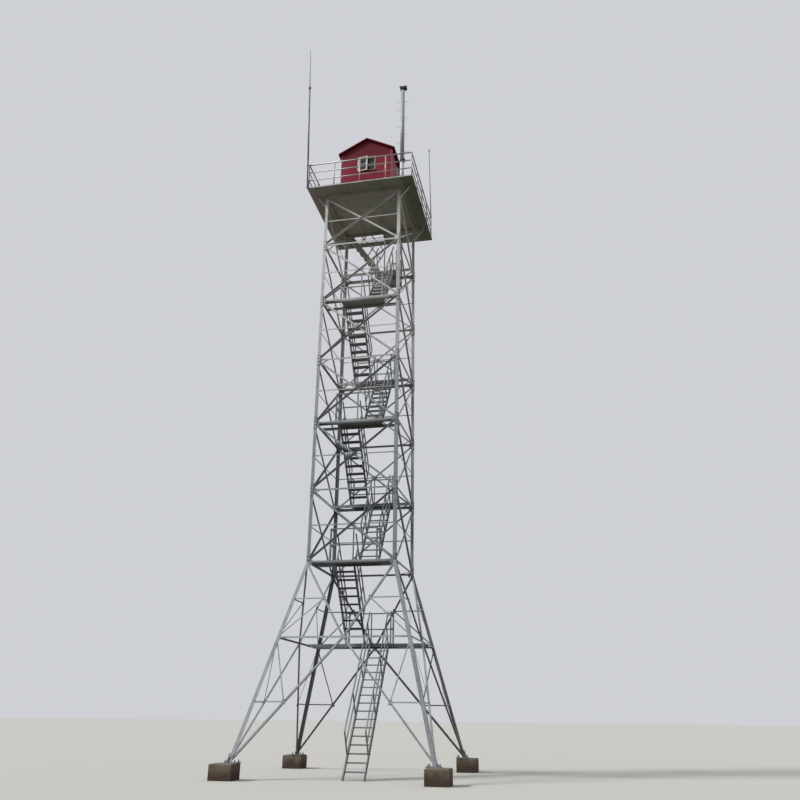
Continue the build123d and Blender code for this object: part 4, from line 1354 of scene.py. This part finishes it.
    def door(self) -> None:
        """Architrave, hinges and panel mouldings of the door."""
        face = self.wall(Side.RIGHT)
        trim, fittings = Shape(), Shape()
        post, head = self.casing
        tall, thick, centre = self.door_height, self.casing_thick, self.door_centre
        jamb = self.door_width / 2 + self.casing_gap
        trim.bars(face.place(centre, 0.0, thick / 2), thick, (
            (-jamb, tall / 2, post, tall), (jamb, tall / 2, post, tall),
            (0.0, tall + head / 2, 2 * jamb + post, head),
        ))
        trim.finish("door_architrave", self.finishes.frame, Slot.FRAME)
        reach = UP * self.hinge_half
        for z in self.hinge_heights:
            hinge = face.at(centre + self.door_width / 2 - self.hinge_inset, z, self.hinge_lift)
            fittings.tube(hinge - reach, hinge + reach, self.hinge_radius, 10)
        half, thin = self.panel_half, self.moulding
        for low, high in self.panels:
            middle, tall = (low + high) / 2, high - low
            fittings.bars(face.place(centre, 0.0, thin / 4), thin / 2, (
                (-half, middle, thin, tall), (half, middle, thin, tall), (0.0, low, 2 * half, thin),
                (0.0, high, 2 * half, thin),
            ))
        fittings.finish("door_fittings", self.finishes.door, Slot.DOOR)


@dataclass
class CameraMast(SubAssembly):
    """Round mast with climbing pegs, foot flange with fins, camera housing and ball lamp."""

    radius: float = 0.085
    sides: int = 28
    shift: float = 0.06
    height: float = 4.84
    flange: float = 0.3
    flange_thick: float = 0.016
    bolt_reach: float = 0.12
    fin_height: float = 0.16
    fin_reach: float = 0.065
    fin_edge: float = 0.02
    fin_thick: float = 0.01
    cap: Outline = ((0.0, 0.0), (0.093, 0.0), (0.096, 0.003), (0.096, 0.013), (0.093, 0.016), (0.0, 0.016))
    peg_spacing: float = 0.43
    peg_count: int = 7
    peg_reach: float = 0.169
    peg_radius: float = 0.0056
    peg_sunk: float = 0.01
    peg_cap: tuple[float, float] = (0.009, 0.006)
    peg_collar: tuple[float, float] = (0.012, 0.008)
    collar_sunk: float = 0.002
    first_peg: float = 1.67
    camera_foot: Outline = ((0.0, 0.0), (0.06, 0.0), (0.06, 0.012), (0.035, 0.02), (0.032, 0.05),
                            (0.05, 0.061), (0.0, 0.061))
    camera_body: Outline = ((-0.08, 0.0), (0.08, 0.0), (0.08, 0.095), (0.04, 0.135), (-0.04, 0.135),
                            (-0.08, 0.095))
    camera_length: float = 0.25
    camera_lift: float = 0.06
    camera_shift: float = 0.025
    shield: Outline = ((-0.094, 0.03), (-0.089, 0.03), (-0.089, 0.112), (-0.044, 0.156), (0.044, 0.156),
                       (0.089, 0.112), (0.089, 0.03), (0.094, 0.03), (0.094, 0.114), (0.046, 0.1695),
                       (-0.046, 0.1695), (-0.094, 0.114))
    shield_length: float = 0.295
    lens: Outline = ((0.0, 0.0), (0.045, 0.0), (0.048, 0.006), (0.04, 0.012), (0.02, 0.016), (0.0, 0.018))
    lamp_lift: float = 1.18
    lamp_turn: float = -40.0
    lamp_radius: float = 0.055
    band_height: float = 0.085
    band_thick: float = 0.022
    ball_share: float = 0.98
    arm_radius: float = 0.011
    arch: tuple[float, float, float] = (0.5, 0.55, 0.9)

    @property
    def foot(self) -> Vector:
        """Middle of the mast's foot."""
        return Vector((PLAN.body_half + self.shift, -PLAN.body_half, PLAN.deck_top + PLAN.seat))

    def build(self) -> None:
        """Builds the mast, its camera and its lamp in place of their CAD nodes."""
        self.tube()
        self.camera()
        self.lamp()

    @staticmethod
    def disc(shape: Shape, place: Matrix, radius: float, height: float) -> None:
        """Adds a small round disc that stands on a place."""
        shape.lathe(((0.0, 0.0), (radius, 0.0), (radius, height), (0.0, height)), place, 8)

    def tube(self) -> None:
        """Tube, flange, fins, cap and pegs."""
        mast, base = Shape(), Shape()
        top = self.foot + UP * self.height
        joint = self.foot + UP * self.lamp_lift
        base.tube(self.foot, joint, self.radius, self.sides)
        mast.tube(joint, top, self.radius, self.sides)
        plate = stance(self.foot + UP * self.flange_thick / 2, UP)
        base.block(plate, (self.flange, self.flange, self.flange_thick), 0.003)
        mast.lathe(self.cap, Matrix.Translation(top), self.sides)
        inner, outer = self.radius * 0.9, self.radius + self.fin_reach
        fin = ((inner, 0.0), (outer, 0.0), (outer, self.fin_edge), (inner, self.fin_height))
        for k in range(4):
            out = heading(45.0 + 90.0 * k)
            across = UP.cross(out)
            start = self.foot + UP * self.flange_thick - across * self.fin_thick / 2
            base.prism(fin, stance(start, across, out), self.fin_thick)
        # The pegs stand left and right by turns, and the uppermost has one on each side.
        pegs = [(i, -1 if i % 2 else 1) for i in range(self.peg_count)] + [(self.peg_count - 1, -1)]
        for i, hand in pegs:
            start = self.foot + UP * (self.first_peg + self.peg_spacing * i)
            out = X * hand
            tip = start + out * (self.radius + self.peg_reach)
            mast.tube(start + out * (self.radius - self.peg_sunk), tip, self.peg_radius, 8)
            self.disc(mast, stance(tip - out * HAIR, out), *self.peg_cap)
            self.disc(mast, stance(start + out * (self.radius - self.collar_sunk), out), *self.peg_collar)
        mast.finish("mast_tube", self.finishes.mast, Slot.MAST, ["camera_mast"])
        # The foot of the tube takes the paler copy of the mast paint, which is painted light.
        base.finish("mast_foot_tube", self.finishes.mast_foot, Slot.MAST)
        bolts = Fastener(across=0.03, head=0.014, washer=0.045, stub=0.015, stub_radius=0.009)
        for sx, sy in CORNERS:
            corner = Vector((sx * self.bolt_reach, sy * self.bolt_reach, self.flange_thick))
            bolts.at(self.foot + corner, UP)
        bolts.finish("mast_foot_bolts", self.finishes.bolt)

    def camera(self) -> None:
        """Housing with a sun shield and a window, on a short bracket."""
        housing, lens = Shape(), Shape()
        base = self.foot + UP * (self.height + self.flange_thick + PLAN.seat)
        housing.lathe(self.camera_foot, Matrix.Translation(base))
        middle = base + X * self.camera_shift + UP * self.camera_lift
        for profile, length in ((self.camera_body, self.camera_length), (self.shield, self.shield_length)):
            housing.prism(profile, stance(middle - X * length / 2, X, Y), length)
        housing.finish("camera_housing", self.finishes.housing, Slot.HOUSING, ["mast_camera"])
        window = middle + X * (self.camera_length / 2 - 0.001) + UP * self.camera_lift
        lens.lathe(self.lens, stance(window, X), 24)
        lens.finish("camera_window", self.finishes.lens, Slot.HOUSING)

    def lamp(self) -> None:
        """Ball lamp that hangs from an arched arm on a band."""
        lamp = Shape()
        way, reach = heading(self.lamp_turn), self.lamp_radius
        half_turn = [pi * k / 8 for k in range(9)]
        centre = self.foot + way * (self.radius + reach) + UP * self.lamp_lift
        band = Matrix.Translation(self.foot + UP * (self.lamp_lift - self.band_height / 2))
        inner, outer, top = self.radius + PLAN.seat, self.radius + self.band_thick, self.band_height
        lamp.lathe(((inner, 0.0), (outer, 0.0), (outer, top), (inner, top)), band, self.sides)
        ball = [(reach * self.ball_share * sin(t), -reach * self.ball_share * cos(t)) for t in half_turn]
        lamp.lathe(ball, Matrix.Translation(centre))
        near, wide, tall = (reach * share for share in self.arch)
        lamp.path([
            centre - way * (near + wide * cos(turn)) + UP * tall * (1.0 + sin(turn)) for turn in half_turn
        ], self.arm_radius, 10)
        lamp.finish("ball_lamp", self.finishes.coat, Slot.HOUSING, ["mast_lamp"])


@dataclass
class Aerials(SubAssembly):
    """The leaning whip aerial near the front left corner and the thin whip of the back right corner."""

    lean: float = 2.0
    foot_left: float = 2.135
    foot_drop: float = 0.074
    pole: float = 5.204
    whip: float = 2.15
    pole_radius: float = 0.03
    sleeve: float = 0.033
    sleeve_from: float = 1.4
    whip_radius: float = 0.017
    knob: Outline = ((0.0, -0.08), (0.036, -0.078), (0.056, -0.05), (0.056, 0.03), (0.04, 0.062),
                     (0.02, 0.08), (0.0, 0.08))
    collar: Outline = ((0.0, -0.03), (0.036, -0.03), (0.036, 0.03), (0.0, 0.03))
    collars: tuple[float, float] = (2.4, 4.0)
    clamp_width: float = 0.08
    clamp_height: float = 0.045
    clamp_low: float = 0.046
    rail_half: float = 0.0225
    rear_height: float = 3.78
    rear_radius: float = 0.021
    rear_lean: float = 1.1
    rear_foot: float = 0.02
    socket: Outline = ((0.0, 0.0), (0.031, 0.0), (0.031, 0.02), (0.022, 0.03), (0.031, 0.04), (0.022, 0.05),
                       (0.028, 0.06), (0.019, 0.078), (0.0, 0.078))
    tip: Outline = ((0.0, -0.063), (0.024, -0.056), (0.033, -0.035), (0.033, 0.035), (0.024, 0.056),
                    (0.0, 0.063))
    tip_drop: float = 0.065

    @staticmethod
    def leaning(base: Vector, lean: float, *heights: float) -> list[Vector]:
        """Points on a pole that leans to the left, at heights above its base."""
        return [base + UP * height - X * (height * tan(radians(lean))) for height in heights]

    def build(self) -> None:
        """Builds both aerials in place of their CAD nodes."""
        self.front()
        self.rear()

    def front(self) -> None:
        """Pole, sleeve, knob, whip and clamps of the front aerial."""
        shape = Shape()
        stand = PLAN.platform_half + PLAN.seat + self.pole_radius
        foot = Vector((-self.foot_left, -stand, PLAN.deck_top - self.foot_drop))
        start, end, tip = self.leaning(foot, self.lean, self.sleeve_from, self.pole, self.pole + self.whip)
        along = (tip - foot).normalized()
        shape.tube(foot + along * 0.002, end, self.pole_radius, 16)
        shape.tube(start, end, self.sleeve, 16)
        shape.lathe(self.knob, stance(end, along), 16)
        shape.tube(end, tip, self.whip_radius, 10, self.whip_radius * 0.6)
        for middle in self.leaning(foot, self.lean, *self.collars):
            shape.lathe(self.collar, stance(middle, along), 16)
        rail = self.foot_drop + PLAN.guard_height - self.clamp_height
        holders = (PLAN.platform_half, PLAN.guard_half + self.rail_half)
        for centre, holder in zip(self.leaning(foot, self.lean, self.clamp_low, rail), holders):
            near, far = holder + PLAN.seat, stand + self.pole_radius
            middle = Matrix.Translation((centre.x, -(near + far) / 2, centre.z))
            shape.block(middle, (self.clamp_width, far - near, self.clamp_height), 0.004)
        shape.finish("front_whip_aerial", self.finishes.aerial, Slot.MAST, ["corner_aerial"])

    def rear(self) -> None:
        """Socket, whip and tip of the rear whip."""
        shape = Shape()
        base = Vector((PLAN.guard_half, PLAN.guard_back, PLAN.deck_top + PLAN.guard_height + 2 * PLAN.seat))
        top = self.rear_height - self.tip_drop
        start, tip = self.leaning(base, self.rear_lean, self.rear_foot, top)
        shape.lathe(self.socket, Matrix.Translation(base), 14)
        shape.tube(start, tip, self.rear_radius, 10, self.rear_radius * 0.8)
        shape.lathe(self.tip, stance(tip, tip - start), 14)
        shape.finish("rear_whip_aerial", self.finishes.aerial, Slot.MAST, ["rear_whip"])


# Studio


@dataclass
class Studio:
    """Pale floor, soft light and the camera at the photograph's place and angle."""

    camera_at: tuple[float, float, float] = (7.061, -27.1128, 1.7445)
    yaw: float = 12.0031
    pitch: float = 21.9214
    roll: float = 0.5995
    lens: float = 35.5264
    sensor: float = 36.0
    sight: float = 1500.0
    floor_radius: float = 400.0
    floor_drop: float = 0.001
    sky: str = "#CED0D6"
    sky_light: str = "#E8ECF2"
    sky_share: float = 0.55
    lamp_power: float = 3.0
    lamp_spread: float = 12.0
    lamp_colour: tuple[float, float, float] = (1.0, 0.98, 0.94)
    lamp_at: tuple[float, float, float] = (-30.0, -40.0, 45.0)
    lamp_aim: tuple[float, float, float] = (0.9, 0.45, -0.75)

    def build(self) -> None:
        """Sets the whole studio up."""
        self.add_camera()
        self.add_floor()
        self.add_sky()
        self.add_lamp()
        bpy.context.scene.view_settings.view_transform = "Standard"

    def add_camera(self) -> None:
        """Camera that looks up from eye height."""
        pitch, roll = radians(self.pitch), radians(self.roll)
        right = heading(self.yaw)
        ahead = heading(self.yaw + 90.0) * cos(pitch) + UP * sin(pitch)
        above = right.cross(ahead)
        x = right * cos(roll) + above * sin(roll)
        y = above * cos(roll) - right * sin(roll)
        data = bpy.data.cameras.new("view")
        data.lens = self.lens
        data.sensor_width = self.sensor
        data.sensor_fit = "HORIZONTAL"
        data.clip_end = self.sight
        eye = bpy.data.objects.new("view", data)
        turn = Matrix((x, y, -ahead)).transposed().to_4x4()
        eye.matrix_world = Matrix.Translation(Vector(self.camera_at)) @ turn
        bpy.context.scene.collection.objects.link(eye)
        bpy.context.scene.camera = eye

    def add_floor(self) -> None:
        """Plain pale floor under the footings."""
        part = bmesh.new()
        bmesh.ops.create_circle(part, cap_ends=True, segments=96, radius=self.floor_radius)
        data = bpy.data.meshes.new("floor")
        part.to_mesh(data)
        part.free()
        data.materials.append(StudioFloor("studio_floor", roughness=0.95).make())
        floor = bpy.data.objects.new("floor", data)
        floor.location.z = -self.floor_drop
        bpy.context.scene.collection.objects.link(floor)

    def add_sky(self) -> None:
        """Soft light from all round, and a plain background where the sky is seen."""
        world = bpy.data.worlds.new("studio")
        bpy.context.scene.world = world
        world.use_nodes = True
        tree = world.node_tree
        tree.nodes.clear()
        rays = add_node(tree, "ShaderNodeLightPath").outputs
        seen = rays["Is Camera Ray"]
        for kind in ("Is Transmission Ray", "Is Glossy Ray"):
            seen = add_node(tree, "ShaderNodeMath", {0: seen, 1: rays[kind]}, operation="MAXIMUM").outputs[0]
        light, back = (
            add_node(tree, "ShaderNodeBackground", {"Color": linear(colour), "Strength": strength}).outputs[0]
            for colour, strength in ((self.sky_light, self.sky_share), (self.sky, 1.0))
        )
        mixed = add_node(tree, "ShaderNodeMixShader", {0: seen, 1: light, 2: back})
        add_node(tree, "ShaderNodeOutputWorld", {0: mixed.outputs[0]})

    def add_lamp(self) -> None:
        """One broad lamp from the front left."""
        data = bpy.data.lights.new("broad_lamp", "SUN")
        data.energy = self.lamp_power
        data.angle = radians(self.lamp_spread)
        data.color = self.lamp_colour
        lamp = bpy.data.objects.new("broad_lamp", data)
        lamp.matrix_world = stance(Vector(self.lamp_at), -Vector(self.lamp_aim))
        bpy.context.scene.collection.objects.link(lamp)


def main() -> None:
    """Builds the tower's pieces in order and reports each."""
    logging.basicConfig(level=logging.INFO, format="%(name)s: %(message)s")
    Studio().build()
    finishes = Finishes()
    for part in (CarriedFrame, Footings, LegSplices, LatticeJoints, StairFittings, GuardRail, Hut,
                 CameraMast, Aerials):
        LOG.info("building %s", part.__name__)
        part(finishes).build()


if __name__ == "__main__":
    main()
